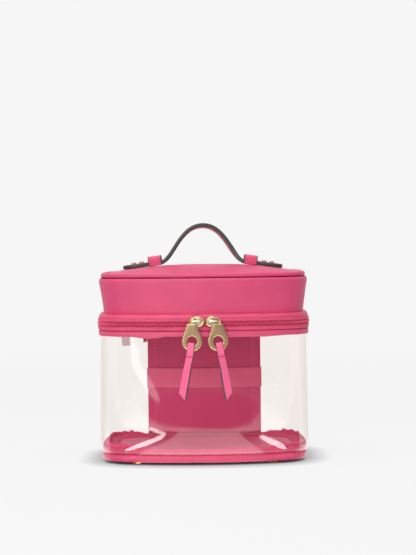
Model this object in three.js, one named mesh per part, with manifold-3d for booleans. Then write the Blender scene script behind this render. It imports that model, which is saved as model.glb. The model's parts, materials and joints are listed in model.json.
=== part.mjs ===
// Small makeup train case with a clear wall, a domed leather lid on a rear hinge,
// a two-way zip and a top handle. Millimetres, +Z up, front towards -Y.
import * as THREE from 'three';
import { mergeVertices } from 'three/addons/utils/BufferGeometryUtils.js';
import Module from 'manifold-3d';

const wasm = await Module();
wasm.setup();

// Plan of the case, measured on the outer face of the clear wall
const halfWidth = 99.4;
const halfDepth = 68;
const frontBowRadius = 270;
const sideBowRadius = 520;
const cornerRadius = 32;
const panelMargin = 9.4;

// Clearances
const fit = 0.3;
const seat = 0.2;
const partingGap = 1;

// Base
const footHeight = 2.5;
const footRadius = 3.95;
const footPadRadius = 2;
const footInsetX = 35.4;
const footInsetFront = 14.3;
const footInsetRear = 18;
const shankRadius = 1;
const washerRadius = 3.2;
const washerThickness = 0.8;
const coverThickness = 1.2;
const boardThickness = 2.4;
const foamThickness = 4.2;
const floorThickness = 0.8;
const pipingHeight = 6.9;
const pipingDepth = 4.6;
const pipingInset = 1.5;
const pipingChamfer = 1.6;
const stripHeight = 5.4;
const seamRollHeight = 2.6;
const seamRollDepth = 2.4;

// Clear wall and rear panel
const wallThickness = 0.8;
const wallFootInset = 1.8;
const wallTurnHeight = 6;
const wallTurnShare = 0.3;
const wallTuck = 8;
const clearHeight = 111.1;
const leatherThickness = 1.2;
const strapHeight = 20;
const strapTopDrop = 39.3;
const strapOverhang = 1;

// Zip
const bindingHeight = 4.8;
const bindingProud = 2;
const tapeHeight = 4.9;
const tapeDepth = 1.4;
const tapeProud = 1.9;
const chainHeight = 1.5;
const chainDepth = 1.7;
const chainProud = 2.2;
const upperTapeHeight = 1.5;
const weltHeight = 4.2;
const weltProud = 2;
const weltShelf = 1;
const tailWidth = 4;
const tailLengthLeft = 13;
const tailLengthRight = 7;
const tagWidth = 9.2;
const tagLength = 16.5;
const tagThickness = 0.5;
const tagFacet = 1.5;

// Lid
const bandHeight = 33.8;
const bandThickness = 1.8;
const bandFootInset = 4;
const bandHeadProud = 0.6;
const bandHeadTurn = 0.2;
const bandBellyShare = 0.88;
const rollHeight = 4.2;
const rollDepth = 4.4;
const rollInset = 1.3;
const rollChamfer = 1.3;
const crownRise = 8.1;
const crownDrop = 0.76;
const crownPower = 2.3;
const topThickness = 1.6;
const lidBoardThickness = 1.5;
const liningThickness = 0.8;
const hingeStandoff = 2.6;
const hingeFlapHeight = 10;

// Handle
const strapWidth = 21;
const strapThickness = 3.8;
const handleRise = 39;
const archGap = 1.5;
const archFootRise = 2.4;
const archLeanShare = 0.771;
const archLeanRise = 9.2;
const archCrownShare = 0.518;
const handleEndMargin = 16.2;
const handleEndLength = 33.7;
const handleEndTaper = 7;
const handleRestGap = 0.95;
const handleTipGap = 0.43;
const keeperLap = 4.3;
const keeperWidth = 13;
const keeperWall = 1.3;
const keeperHeight = 9.2;
const studInset = 10.7;
const studPitch = 7.4;
const studRadius = 2.5;
const studHeight = 1.8;
const studShankRadius = 0.9;

// Sliders and pulls
const sliderReach = 7.75;
const sliderShift = 1.45;
const plateLength = 13.2;
const plateHeight = 10.4;
const plateShift = 0.9;
const plateRise = 1.7;
const backPlateHeight = 9.6;
const plateThickness = 1.5;
const backPlateThickness = 1.1;
const plateClearance = 0.9;
const webThickness = 0.4;
const webLength = 8;
const pinRadius = 1.1;
const pinLength = 9.3;
const pinRise = 2.3;
const pinStandoff = 2.8;
const legWidth = 1.2;
const legHeight = 1.6;
const weld = 0.15;
const sleeveThickness = 0.9;
const sleeveStart = THREE.MathUtils.degToRad(80);
const sleeveEnd = THREE.MathUtils.degToRad(280);
const pullOffset = 4.2;
const pullLength = 17.1;
const pullNeckWidth = 8.6;
const pullOuterRadius = 9.25;
const pullHoleRadius = 4.75;
const pullThickness = 1.8;
const tabWidth = 6.6;
const tabLayer = 1.2;
const tabLength = 54.4;
const tabLoopRise = 1.45;
const tabBindDrop = 12.8;
const tabTipSlant = 5.8;
const tabLeanLeft = THREE.MathUtils.degToRad(9);
const tabLeanRight = THREE.MathUtils.degToRad(11.5);

// Steps on round stretches, and the shares at which the crown's rings stand
const bowSteps = 4;
const cornerSteps = 5;
const sideSteps = 2;
const roundSteps = 16;
const archSteps = 22;
const crownShares = [1, 0.88, 0.7, 0.46, 0.2];
const boardShares = [1, 0.8, 0.45];
const cutShare = 0.25;

// Levels worked out from the sizes above
const pipingTop = footHeight + pipingHeight;
const coverBottom = footHeight + seat;
const boardBottom = coverBottom + coverThickness + seat;
const foamBottom = boardBottom + boardThickness + seat;
const floorBottom = Math.max(foamBottom + foamThickness, pipingTop) + seat;
const floorTop = floorBottom + floorThickness;
const wallBottom = pipingTop + fit;
const bindingBottom = wallBottom + clearHeight;
const bindingTop = bindingBottom + bindingHeight;
const tapeBottom = bindingTop + fit;
const chainBottom = tapeBottom + tapeHeight + fit;
const partingLevel = chainBottom + chainHeight + partingGap / 2;
const upperChainBottom = partingLevel + partingGap / 2;
const upperTapeBottom = upperChainBottom + chainHeight + fit;
const weltBottom = upperTapeBottom + upperTapeHeight + seat;
const bandBottom = weltBottom + weltHeight + seat;
const bandTop = bandBottom + bandHeight;
const rollBottom = bandTop + fit;
const rollTop = rollBottom + rollHeight;
const crownEdge = rollTop - crownDrop;
const crownInset = rollInset + rollDepth + fit;
const panelHalf = rearCorner().x - panelMargin;
const panelWidth = panelHalf * 2;
const panelOuterFace = fit + leatherThickness;
const liningInset = wallThickness + fit;
const bandsStart = panelHalf + fit;
const bowCentreY = frontBowRadius - halfDepth;

// Plan outline: a bowed front, slightly bowed sides and a straight rear, joined
// by tangent corners. Every offset outline shares the same arc centres.

function frontCornerCentre() {
  const sideCentreX = halfWidth - sideBowRadius;
  const toBow = frontBowRadius - cornerRadius;
  const toSide = sideBowRadius - cornerRadius;
  const span = Math.hypot(sideCentreX, bowCentreY);
  const along = (toBow ** 2 - toSide ** 2 + span ** 2) / (2 * span);
  const across = Math.sqrt(toBow ** 2 - along ** 2);
  const ux = sideCentreX / span;
  const uy = -bowCentreY / span;
  return [ux * along - uy * across, bowCentreY + uy * along + ux * across];
}

function arcStations(cx, cy, radius, from, to, steps) {
  const list = [];
  for (let i = 0; i < steps; i += 1) {
    list.push({ cx, cy, radius, angle: from + ((to - from) * i) / steps });
  }
  return list;
}

// The rear corner's centre, and the angle at which the side bow leaves it.
function rearCorner() {
  const sideX = halfWidth - sideBowRadius;
  const y = halfDepth - cornerRadius;
  const across = Math.sqrt((sideBowRadius - cornerRadius) ** 2 - y ** 2);
  return { x: sideX + across, y, angle: Math.atan2(y, across) };
}

function halfStations(rearX) {
  const sideX = halfWidth - sideBowRadius;
  const rear = rearCorner();
  const [frontX, frontY] = frontCornerCentre();
  const sideFront = Math.atan2(frontY, frontX - sideX);
  const bowEdge = Math.atan2(frontY - bowCentreY, frontX);
  return [
    { cx: rearX, cy: 0, radius: halfDepth, angle: Math.PI / 2 },
    ...arcStations(rear.x, rear.y, cornerRadius, Math.PI / 2, rear.angle, cornerSteps),
    ...arcStations(sideX, 0, sideBowRadius, rear.angle, sideFront, sideSteps),
    ...arcStations(frontX, frontY, cornerRadius, sideFront, bowEdge, cornerSteps),
    ...arcStations(0, bowCentreY, frontBowRadius, bowEdge, -Math.PI / 2, bowSteps),
  ];
}

// Points of the outline moved outwards by an offset, from the right of the
// rear panel round the front to its left.
function outlineAt(offset, rearX = bandsStart) {
  const half = halfStations(rearX).map(({ cx, cy, radius, angle }) => [
    cx + (radius + offset) * Math.cos(angle),
    cy + (radius + offset) * Math.sin(angle),
  ]);
  const mirrored = half.map(([x, y]) => [-x, y]).reverse();
  return [...half, [0, -halfDepth - offset], ...mirrored];
}

// Solids

function signedVolume(positions, indices) {
  const a = new THREE.Vector3();
  const b = new THREE.Vector3();
  const c = new THREE.Vector3();
  let total = 0;
  for (let i = 0; i < indices.length; i += 3) {
    a.fromArray(positions, indices[i] * 3);
    b.fromArray(positions, indices[i + 1] * 3);
    c.fromArray(positions, indices[i + 2] * 3);
    total += a.dot(b.cross(c));
  }
  return total;
}

function closedGeometry(positions, indices) {
  if (signedVolume(positions, indices) < 0) indices.reverse();
  const geometry = new THREE.BufferGeometry();
  geometry.setAttribute('position', new THREE.Float32BufferAttribute(positions, 3));
  geometry.setIndex(indices);
  return geometry;
}

// A profile of [offset, height] points carried round the plan outline, either
// as a closed ring or as a band that stops at the rear panel.
function sweepBand(section, { closed = false, rearX = bandsStart } = {}) {
  const flat = section.map(([offset, height]) => new THREE.Vector2(offset, height));
  if (THREE.ShapeUtils.isClockWise(flat)) flat.reverse();
  const columns = flat.map((point) => outlineAt(point.x, rearX));
  const stationCount = columns[0].length;
  const pointCount = flat.length;
  const positions = [];
  for (let i = 0; i < stationCount; i += 1) {
    flat.forEach((point, j) => positions.push(...columns[j][i], point.y));
  }
  const indices = [];
  const spans = closed ? stationCount : stationCount - 1;
  for (let i = 0; i < spans; i += 1) {
    const near = i * pointCount;
    const far = ((i + 1) % stationCount) * pointCount;
    for (let j = 0; j < pointCount; j += 1) {
      const k = (j + 1) % pointCount;
      indices.push(near + j, far + j, far + k, near + j, far + k, near + k);
    }
  }
  if (!closed) {
    const last = (stationCount - 1) * pointCount;
    for (const [a, b, c] of THREE.ShapeUtils.triangulateShape(flat, [])) {
      indices.push(a, b, c, last + c, last + b, last + a);
    }
  }
  return closedGeometry(positions, indices);
}

// Rings of equal count joined in order, with a fan at each end.
function loftRings(rings, firstCentre, lastCentre) {
  const count = rings[0].length;
  const positions = rings.flat(2);
  const indices = [];
  for (let r = 0; r < rings.length - 1; r += 1) {
    for (let i = 0; i < count; i += 1) {
      const k = (i + 1) % count;
      const low = r * count;
      const high = low + count;
      indices.push(low + i, high + i, high + k, low + i, high + k, low + k);
    }
  }
  const first = positions.length / 3;
  positions.push(...firstCentre, ...lastCentre);
  const end = (rings.length - 1) * count;
  for (let i = 0; i < count; i += 1) {
    const k = (i + 1) % count;
    indices.push(first, i, k, first + 1, end + k, end + i);
  }
  return closedGeometry(positions, indices);
}

function ringAt(offset, share, height) {
  return outlineAt(offset).map(([x, y]) => [x * share, y * share, height]);
}

// A flat sheet in plan, with round holes. The outline's two points on the rear
// straight are left out, because they turn no corner.
function planSheet(offset, bottom, thickness, holes = []) {
  const corners = outlineAt(offset).slice(1, -1).reverse();
  const shape = new THREE.Shape(corners.map(([x, y]) => new THREE.Vector2(x, y)));
  for (const { x, y, radius } of holes) {
    shape.holes.push(new THREE.Path().absarc(x, y, radius, 0, Math.PI * 2, true));
  }
  const options = { depth: thickness, bevelEnabled: false, curveSegments: roundSteps };
  return new THREE.ExtrudeGeometry(shape, options).translate(0, 0, bottom);
}

// Four-sided section with its corners cut.
function chamferedSection(inner, outer, bottom, top, cut) {
  return [
    [inner + cut, bottom],
    [outer - cut, bottom],
    [outer, bottom + cut],
    [outer, top - cut],
    [outer - cut, top],
    [inner + cut, top],
    [inner, top - cut],
    [inner, bottom + cut],
  ];
}

// A sheet of even thickness along a line of [offset, height] points.
function ribbonSection(line, thickness) {
  const half = thickness / 2;
  const normals = line.map((point, i) => {
    const before = line[Math.max(i - 1, 0)];
    const after = line[Math.min(i + 1, line.length - 1)];
    const length = Math.hypot(after[0] - before[0], after[1] - before[1]);
    return [(after[1] - before[1]) / length, -(after[0] - before[0]) / length];
  });
  const side = (sign) => line.map(([u, z], i) => [
    u + sign * half * normals[i][0],
    z + sign * half * normals[i][1],
  ]);
  return [...side(1), ...side(-1).reverse()];
}

// A side view polygon of [outward, height] points, drawn out across the front.
function sidePrism(points, fromX, toX, holes = []) {
  const shape = new THREE.Shape(points.map(([u, z]) => new THREE.Vector2(u, z)));
  for (const hole of holes) {
    shape.holes.push(new THREE.Path(hole.map(([u, z]) => new THREE.Vector2(u, z))));
  }
  const geometry = new THREE.ExtrudeGeometry(shape, { depth: toX - fromX, bevelEnabled: false });
  const basis = new THREE.Matrix4().makeBasis(
    new THREE.Vector3(0, -1, 0),
    new THREE.Vector3(0, 0, 1),
    new THREE.Vector3(-1, 0, 0),
  );
  return geometry.applyMatrix4(basis).translate(toX, 0, 0);
}

// A front view shape given thickness towards the viewer, from a given distance out.
function frontPlate(shape, outward, thickness) {
  const options = { depth: thickness, bevelEnabled: false, curveSegments: roundSteps };
  const geometry = new THREE.ExtrudeGeometry(shape, options);
  return geometry.rotateX(Math.PI / 2).translate(0, -outward, 0);
}

function box(fromX, toX, fromY, toY, fromZ, toZ) {
  const geometry = new THREE.BoxGeometry(toX - fromX, toY - fromY, toZ - fromZ);
  return geometry.translate((fromX + toX) / 2, (fromY + toY) / 2, (fromZ + toZ) / 2);
}

function solidOf(geometry) {
  const bare = geometry.clone();
  bare.deleteAttribute('normal');
  bare.deleteAttribute('uv');
  const merged = mergeVertices(bare);
  const vertProperties = new Float32Array(merged.attributes.position.array);
  const triVerts = new Uint32Array(merged.index.array);
  return new wasm.Manifold(new wasm.Mesh({ numProp: 3, vertProperties, triVerts }));
}

function geometryOf(solid) {
  const { vertProperties, triVerts } = solid.getMesh();
  const geometry = new THREE.BufferGeometry();
  geometry.setAttribute('position', new THREE.BufferAttribute(vertProperties, 3));
  geometry.setIndex(new THREE.BufferAttribute(triVerts, 1));
  return geometry;
}

function joined(geometries) {
  return geometryOf(geometries.map(solidOf).reduce((whole, next) => whole.add(next)));
}

function mirroredX(geometry) {
  const copy = geometry.clone().scale(-1, 1, 1);
  copy.setIndex([...copy.index.array].reverse());
  return copy;
}

// Finishes

function finish(colour, roughness, metalness = 0) {
  return { color: new THREE.Color(colour), roughness, metalness };
}

const pinkLeather = finish(0xe05c86, 0.55);
const pipingLeather = finish(0xe9648a, 0.5);
const pinkLining = finish(0xb8325c, 0.85);
const zipPink = finish(0xd7466b, 0.7);
const clearVinyl = finish(0xeeeae6, 0.12);
const boardGrey = finish(0x8c8378, 0.9);
const foamWhite = finish(0xe8e4da, 0.95);
const blackEdge = finish(0x2c2a2b, 0.6);
const gold = finish(0xb0966e, 0.35, 1);
const brass = finish(0xc98a3c, 0.3, 1);
const tagWhite = finish(0xf2d9df, 0.9);

function named(name, geometry, look) {
  const material = new THREE.MeshStandardMaterial(look);
  const mesh = new THREE.Mesh(geometry, material);
  mesh.name = name;
  return mesh;
}

// Turns about a point: its children are drawn in the frame of its parent.
function pivot(name, x, y, z) {
  const outer = new THREE.Group();
  outer.name = name;
  outer.position.set(x, y, z);
  const inner = new THREE.Group();
  inner.position.set(-x, -y, -z);
  outer.add(inner);
  return { outer, inner };
}

// Base

const footX = halfWidth - footInsetX;
const bowRise = frontBowRadius - Math.sqrt(frontBowRadius ** 2 - footX ** 2);
const footFrontY = bowRise + footInsetFront - halfDepth;
const footRearY = halfDepth - footInsetRear;
const footPlaces = [
  { name: 'front_left', x: -footX, y: footFrontY },
  { name: 'front_right', x: footX, y: footFrontY },
  { name: 'rear_left', x: -footX, y: footRearY },
  { name: 'rear_right', x: footX, y: footRearY },
];

function footHoles(radius) {
  return footPlaces.map(({ x, y }) => ({ x, y, radius }));
}

function lathe(points) {
  const profile = points.map(([radius, height]) => new THREE.Vector2(radius, height));
  return new THREE.LatheGeometry(profile, roundSteps).rotateX(Math.PI / 2);
}

function foot() {
  const domeShare = 0.45;
  return lathe([
    [0, 0],
    [footPadRadius, 0],
    [footRadius, footHeight * domeShare],
    [footRadius, footHeight],
    [shankRadius, footHeight],
    [shankRadius, foamBottom + washerThickness + washerThickness],
    [0, foamBottom + washerThickness + washerThickness],
  ]);
}

function footWasher() {
  return lathe([
    [shankRadius + fit, foamBottom],
    [washerRadius, foamBottom],
    [washerRadius, foamBottom + washerThickness],
    [shankRadius + fit, foamBottom + washerThickness],
    [shankRadius + fit, foamBottom],
  ]);
}

function placed(geometry, x, y) {
  return geometry.translate(x, y, 0);
}

function baseParts() {
  const inner = -(pipingInset + pipingDepth + fit);
  const parts = [
    named('base_cover', planSheet(inner, coverBottom, coverThickness, footHoles(shankRadius + fit)),
      pinkLeather),
    named('base_board', planSheet(inner, boardBottom, boardThickness, footHoles(shankRadius + fit)),
      boardGrey),
    named('base_foam', planSheet(inner, foamBottom, foamThickness, footHoles(washerRadius + fit)),
      foamWhite),
    named('floor_lining', planSheet(-stripInset() - fit, floorBottom, floorThickness), pinkLining),
    named('base_piping', sweepBand(chamferedSection(inner + fit, -pipingInset, footHeight, pipingTop,
      pipingChamfer), { closed: true }), pipingLeather),
  ];
  for (const { name, x, y } of footPlaces) {
    parts.push(named(`foot_${name}`, placed(foot(), x, y), brass));
    parts.push(named(`foot_washer_${name}`, placed(footWasher(), x, y), brass));
  }
  return parts;
}

// Clear wall, its seam at the base and the rear panel

function wallLine(inset, top) {
  return [
    [-wallFootInset - inset, wallBottom],
    [-wallFootInset * wallTurnShare - inset, wallBottom + wallTurnHeight / 2],
    [-inset, wallBottom + wallTurnHeight],
    [-inset, top],
  ];
}

function stripInset() {
  return wallFootInset + wallThickness + fit + leatherThickness;
}

function seamStripLine() {
  const inset = wallThickness + fit + leatherThickness / 2;
  const [foot, turn, head] = wallLine(inset, bindingBottom);
  const share = (stripHeight * 2) / wallTurnHeight - 1;
  const lean = turn[0] + (head[0] - turn[0]) * share;
  return [foot, turn, [lean, wallBottom + stripHeight]];
}

function rearSheet(width, from, to, bottom, top) {
  return box(-width / 2, width / 2, halfDepth + from, halfDepth + to, bottom, top);
}

function strapBand() {
  const width = panelWidth + strapOverhang * 2;
  const face = -liningInset - leatherThickness - fit;
  const top = bindingBottom - strapTopDrop;
  return rearSheet(width, face - leatherThickness, face, top - strapHeight, top);
}

function wallParts() {
  const wallTop = bindingTop - leatherThickness - fit;
  const wall = ribbonSection(wallLine(wallThickness / 2, wallTop), wallThickness);
  const rollOuter = -stripInset() - fit;
  const seamRoll = chamferedSection(rollOuter - seamRollDepth, rollOuter, floorTop + seat,
    floorTop + seat + seamRollHeight, seamRollDepth * cutShare);
  const liningFace = -liningInset - leatherThickness;
  const liningBottom = wallBottom + wallTurnHeight;
  return [
    named('clear_wall', sweepBand(wall, { rearX: panelHalf - wallTuck }), clearVinyl),
    named('lower_seam_strip', sweepBand(ribbonSection(seamStripLine(), leatherThickness)), pipingLeather),
    named('inner_seam_binding', sweepBand(seamRoll, { closed: true }), pinkLining),
    named('back_panel_outer', rearSheet(panelWidth, fit, panelOuterFace, wallBottom,
      partingLevel - partingGap / 2), pinkLeather),
    named('back_panel_stiffener', rearSheet(panelWidth - wallTuck * 2 - fit * 2, -wallThickness, 0,
      liningBottom, bindingTop), boardGrey),
    named('back_panel_lining', rearSheet(panelWidth, liningFace, -liningInset, liningBottom,
      partingLevel - partingGap / 2), pinkLining),
    named('brush_strap', strapBand(), pinkLeather),
  ];
}

// Zip, in two halves that part at one level

function bindingSection() {
  const inner = -liningInset;
  const cut = bindingProud * cutShare;
  return [
    [fit, bindingBottom],
    [bindingProud - cut, bindingBottom],
    [bindingProud, bindingBottom + cut],
    [bindingProud, bindingTop - cut],
    [bindingProud - cut, bindingTop],
    [inner - leatherThickness, bindingTop],
    [inner - leatherThickness, bindingBottom],
    [inner, bindingBottom],
    [inner, bindingTop - leatherThickness],
    [fit, bindingTop - leatherThickness],
  ];
}

function weltSection() {
  const cut = weltProud * cutShare;
  const top = weltBottom + weltHeight;
  const shelfEnd = -(bandFootInset + bandThickness);
  return [
    [chainProud - chainDepth, weltBottom],
    [weltProud - cut, weltBottom],
    [weltProud, weltBottom + cut],
    [weltProud, top - cut],
    [weltProud - cut, top],
    [shelfEnd, top],
    [shelfEnd, top - weltShelf],
    [chainProud - chainDepth, top - weltShelf],
  ];
}

function zipBand(proud, depth, bottom, height) {
  const cut = Math.min(depth, height) * cutShare;
  return sweepBand(chamferedSection(proud - depth, proud, bottom, bottom + height, cut));
}

function tapeTail(side, length) {
  const outer = side * (panelHalf + fit + tailWidth);
  const inner = side * (panelHalf + fit);
  const back = halfDepth - liningInset - leatherThickness - fit;
  return box(Math.min(outer, inner), Math.max(outer, inner), back - leatherThickness, back,
    bindingBottom - length, bindingBottom + bindingHeight / 2);
}

// A blank sewn-in tag that hangs from the binding inside the rear left corner,
// flat against one facet of the bend.
function careTag() {
  const corner = rearCorner();
  const facet = (Math.PI / 2 - corner.angle) / cornerSteps;
  const inner = cornerRadius - liningInset - leatherThickness;
  const reach = inner * Math.cos(facet / 2) - fit;
  const tag = box(-tagWidth / 2, tagWidth / 2, reach - tagThickness, reach,
    bindingBottom - tagLength, bindingBottom + bindingHeight / 2);
  return tag.rotateZ(facet * tagFacet).translate(-corner.x, corner.y, 0);
}

function lowerZipParts() {
  return [
    named('lower_zip_binding', sweepBand(bindingSection()), pipingLeather),
    named('lower_zip_tape', zipBand(tapeProud, tapeDepth, tapeBottom, tapeHeight), zipPink),
    named('lower_zip_chain', zipBand(chainProud, chainDepth, chainBottom, chainHeight), zipPink),
    named('zip_tape_end_left', tapeTail(-1, tailLengthLeft), zipPink),
    named('zip_tape_end_right', tapeTail(1, tailLengthRight), zipPink),
    named('care_tag', careTag(), tagWhite),
  ];
}

// Lid

function crownHeight(share) {
  return crownEdge + crownRise * (1 - share ** crownPower);
}

function crownedShell(inset, lowering, thickness, shares) {
  const top = shares.map((share) => ringAt(-inset, share, crownHeight(share) - lowering));
  const under = shares.map((share) => ringAt(-inset, share, crownHeight(share) - lowering - thickness));
  const peak = crownHeight(0) - lowering;
  return loftRings([...top.reverse(), ...under], [0, 0, peak], [0, 0, peak - thickness]);
}

function bandLine(inset) {
  return [
    [-bandFootInset - inset, bandBottom],
    [bandHeadProud - inset, bandBottom + bandHeight * bandBellyShare],
    [bandHeadProud - bandHeadTurn - inset, bandTop],
  ];
}

function lidLining() {
  const bottom = bandBottom + seat;
  const top = bandTop - seat;
  const outerFoot = -(bandFootInset + bandThickness + fit);
  const outerHead = -(bandThickness + fit + liningThickness);
  return loftRings([
    ringAt(outerHead - liningThickness, 1, top - liningThickness),
    ringAt(outerFoot - liningThickness, 1, bottom),
    ringAt(outerFoot, 1, bottom),
    ringAt(outerHead, 1, top),
  ], [0, 0, top - liningThickness], [0, 0, top]);
}

// Rear leather flap from the parting level up onto the foot of the lid band.
function hingeFlap() {
  const half = leatherThickness / 2;
  const kneeShare = 0.45;
  const knee = weltBottom + weltHeight * kneeShare;
  const start = partingLevel + partingGap / 2;
  const clear = half + fit * 2;
  const lean = (bandFootInset + bandHeadProud) / bandHeight;
  return ribbonSection([
    [fit + half, start],
    [fit + half, knee],
    [-bandFootInset + clear + lean, bandBottom + leatherThickness],
    [-bandFootInset + clear + lean * hingeFlapHeight, bandBottom + hingeFlapHeight],
  ], leatherThickness);
}

function lidParts() {
  const roll = chamferedSection(-rollInset - rollDepth, -rollInset, rollBottom, rollTop, rollChamfer);
  const band = ribbonSection(bandLine(bandThickness / 2), bandThickness);
  const flap = sidePrism(hingeFlap().map(([u, z]) => [-halfDepth - u, z]), -panelHalf, panelHalf);
  return [
    named('upper_zip_chain', zipBand(chainProud, chainDepth, upperChainBottom, chainHeight), zipPink),
    named('upper_zip_tape', zipBand(tapeProud, tapeDepth, upperTapeBottom, upperTapeHeight), zipPink),
    named('upper_zip_welt', sweepBand(weltSection()), pipingLeather),
    named('lid_band', sweepBand(band, { closed: true }), pinkLeather),
    named('lid_lining', lidLining(), pinkLining),
    named('lid_piping', sweepBand(roll, { closed: true }), pipingLeather),
    named('lid_board', crownedShell(crownInset, topThickness + seat, lidBoardThickness, boardShares),
      boardGrey),
    named('lid_top_panel', crownedShell(crownInset, 0, topThickness, crownShares), pinkLeather),
    named('hinge_flap', flap, pinkLeather),
  ];
}

// Handle: a strap that runs through two keepers, with domed studs as stops

const crownHalf = halfWidth - crownInset;
const handleEndOuterX = crownHalf - handleEndMargin;
const handleEndInnerX = handleEndOuterX - handleEndLength;
const keeperInnerX = handleEndInnerX - keeperLap;
const studPlaces = [handleEndOuterX - studInset - studPitch, handleEndOuterX - studInset];
const handleRestX = keeperInnerX + keeperWidth / 2;
const handleRestZ = crownHeight(handleRestX / crownHalf) + handleRestGap;
const handleTipZ = crownHeight(handleEndOuterX / crownHalf) + handleTipGap;
const handleSlope = Math.atan((handleRestZ - handleTipZ) / (handleEndOuterX - handleRestX));

function archSection() {
  const foot = handleRestZ + archFootRise;
  const crown = crownHeight(0) + handleRise - strapThickness / 2;
  const reach = handleEndInnerX - archGap;
  const curve = new THREE.CubicBezierCurve(
    new THREE.Vector2(reach, foot),
    new THREE.Vector2(reach * archLeanShare, handleRestZ + archLeanRise),
    new THREE.Vector2(reach * archCrownShare, crown),
    new THREE.Vector2(0, crown),
  );
  const right = curve.getPoints(archSteps / 2).map(({ x, y }) => [x, y]);
  const left = right.slice(0, -1).map(([x, z]) => [-x, z]).reverse();
  return ribbonSection([...right, ...left], strapThickness);
}

function handleArch() {
  const shape = new THREE.Shape(archSection().map(([x, z]) => new THREE.Vector2(x, z)));
  return frontPlate(shape, -strapWidth / 2, strapWidth);
}

// The right strap end, drawn level with its underside at zero.
function handleEnd() {
  const half = strapWidth / 2;
  const tipShare = 0.55;
  const shape = new THREE.Shape([
    new THREE.Vector2(handleEndInnerX, -half),
    new THREE.Vector2(handleEndOuterX - handleEndTaper, -half),
    new THREE.Vector2(handleEndOuterX, -half * tipShare),
    new THREE.Vector2(handleEndOuterX, half * tipShare),
    new THREE.Vector2(handleEndOuterX - handleEndTaper, half),
    new THREE.Vector2(handleEndInnerX, half),
  ]);
  for (const x of studPlaces) {
    shape.holes.push(new THREE.Path().absarc(x, 0, studShankRadius + fit, 0, Math.PI * 2, true));
  }
  const options = { depth: strapThickness, bevelEnabled: false, curveSegments: roundSteps / 2 };
  return new THREE.ExtrudeGeometry(shape, options);
}

function stud() {
  const shoulderShare = 0.7;
  return lathe([
    [0, 0],
    [studShankRadius, 0],
    [studShankRadius, strapThickness + seat],
    [studRadius, strapThickness + seat],
    [studRadius * shoulderShare, strapThickness + seat + studHeight * shoulderShare],
    [0, strapThickness + seat + studHeight],
  ]);
}

function keeper() {
  const inner = strapWidth / 2 + fit;
  const outer = inner + keeperWall;
  const foot = -(handleRestGap - seat) / 2;
  const top = foot + keeperHeight;
  const shape = new THREE.Shape([
    new THREE.Vector2(-outer, foot),
    new THREE.Vector2(-inner, foot),
    new THREE.Vector2(-inner, top - keeperWall),
    new THREE.Vector2(inner, top - keeperWall),
    new THREE.Vector2(inner, foot),
    new THREE.Vector2(outer, foot),
    new THREE.Vector2(outer, top),
    new THREE.Vector2(-outer, top),
  ]);
  const geometry = new THREE.ExtrudeGeometry(shape, { depth: keeperWidth, bevelEnabled: false });
  const basis = new THREE.Matrix4().makeBasis(
    new THREE.Vector3(0, 1, 0),
    new THREE.Vector3(0, 0, 1),
    new THREE.Vector3(1, 0, 0),
  );
  return geometry.applyMatrix4(basis).translate(keeperInnerX, 0, 0);
}

// Lays a piece that was drawn level on the slope of the lid, right or left.
function onSlope(geometry, side) {
  geometry.translate(-handleRestX, 0, 0);
  geometry.rotateY(handleSlope);
  geometry.translate(handleRestX, 0, handleRestZ);
  return side > 0 ? geometry : geometry.rotateZ(Math.PI);
}

function handleParts() {
  const parts = [named('handle_arch', handleArch(), blackEdge)];
  for (const [word, side] of [['left', -1], ['right', 1]]) {
    parts.push(named(`handle_end_${word}`, onSlope(handleEnd(), side), blackEdge));
    parts.push(named(`keeper_${word}`, onSlope(keeper(), side), pinkLeather));
    for (const [i, place] of ['inner', 'outer'].entries()) {
      parts.push(named(`stud_${word}_${place}`, onSlope(placed(stud(), studPlaces[i], 0), side), gold));
    }
  }
  return parts;
}

// Sliders, pulls and leather tabs. Each is drawn about the centre line of the
// front bow, at its foremost point, and then turned round the bow to its place.

const plateInner = chainProud + fit;
const plateOuter = plateInner + plateThickness;
const pinOut = plateOuter + pinStandoff;
const pinLevel = partingLevel + pinRise;
const pullTop = pinLevel - pinRadius - fit;
const holeLevel = pullTop - pullLength;

function oval(height, level) {
  return new THREE.Shape().absellipse(-plateShift, level, plateLength / 2, height / 2, 0, Math.PI * 2);
}

function slider() {
  const backFace = chainProud - chainDepth - plateClearance;
  const out = (u) => frontBowRadius + u;
  const legFrom = pinLength / 2 - legWidth;
  const leg = (x) => box(x, x + legWidth, -out(pinOut), -out(plateOuter - weld),
    pinLevel - legHeight / 2, pinLevel + legHeight / 2);
  const pin = new THREE.CylinderGeometry(pinRadius, pinRadius, pinLength, roundSteps / 2);
  pin.rotateZ(Math.PI / 2).translate(0, -out(pinOut), pinLevel);
  return joined([
    frontPlate(oval(plateHeight, partingLevel + plateRise), out(plateInner), plateThickness),
    frontPlate(oval(backPlateHeight, partingLevel), out(backFace - backPlateThickness),
      backPlateThickness),
    box(-webLength / 2, webLength / 2, -out(plateInner + weld), -out(backFace - weld),
      partingLevel - webThickness / 2, partingLevel + webThickness / 2),
    leg(legFrom),
    leg(-legFrom - legWidth),
    pin,
  ]);
}

function pullOutline() {
  const neckHalf = pullNeckWidth / 2;
  const reach = Math.hypot(neckHalf, pullLength);
  const touch = Math.atan2(pullLength, neckHalf) - Math.acos(pullOuterRadius / reach);
  const shape = new THREE.Shape();
  shape.moveTo(pullOffset + neckHalf, pullTop);
  shape.lineTo(pullOffset - neckHalf, pullTop);
  shape.absarc(pullOffset, holeLevel, pullOuterRadius, Math.PI - touch, touch, false);
  const hole = new THREE.Path();
  hole.absarc(pullOffset, holeLevel, pullHoleRadius, 0, Math.PI * 2, true);
  shape.holes.push(hole);
  return shape;
}

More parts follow.
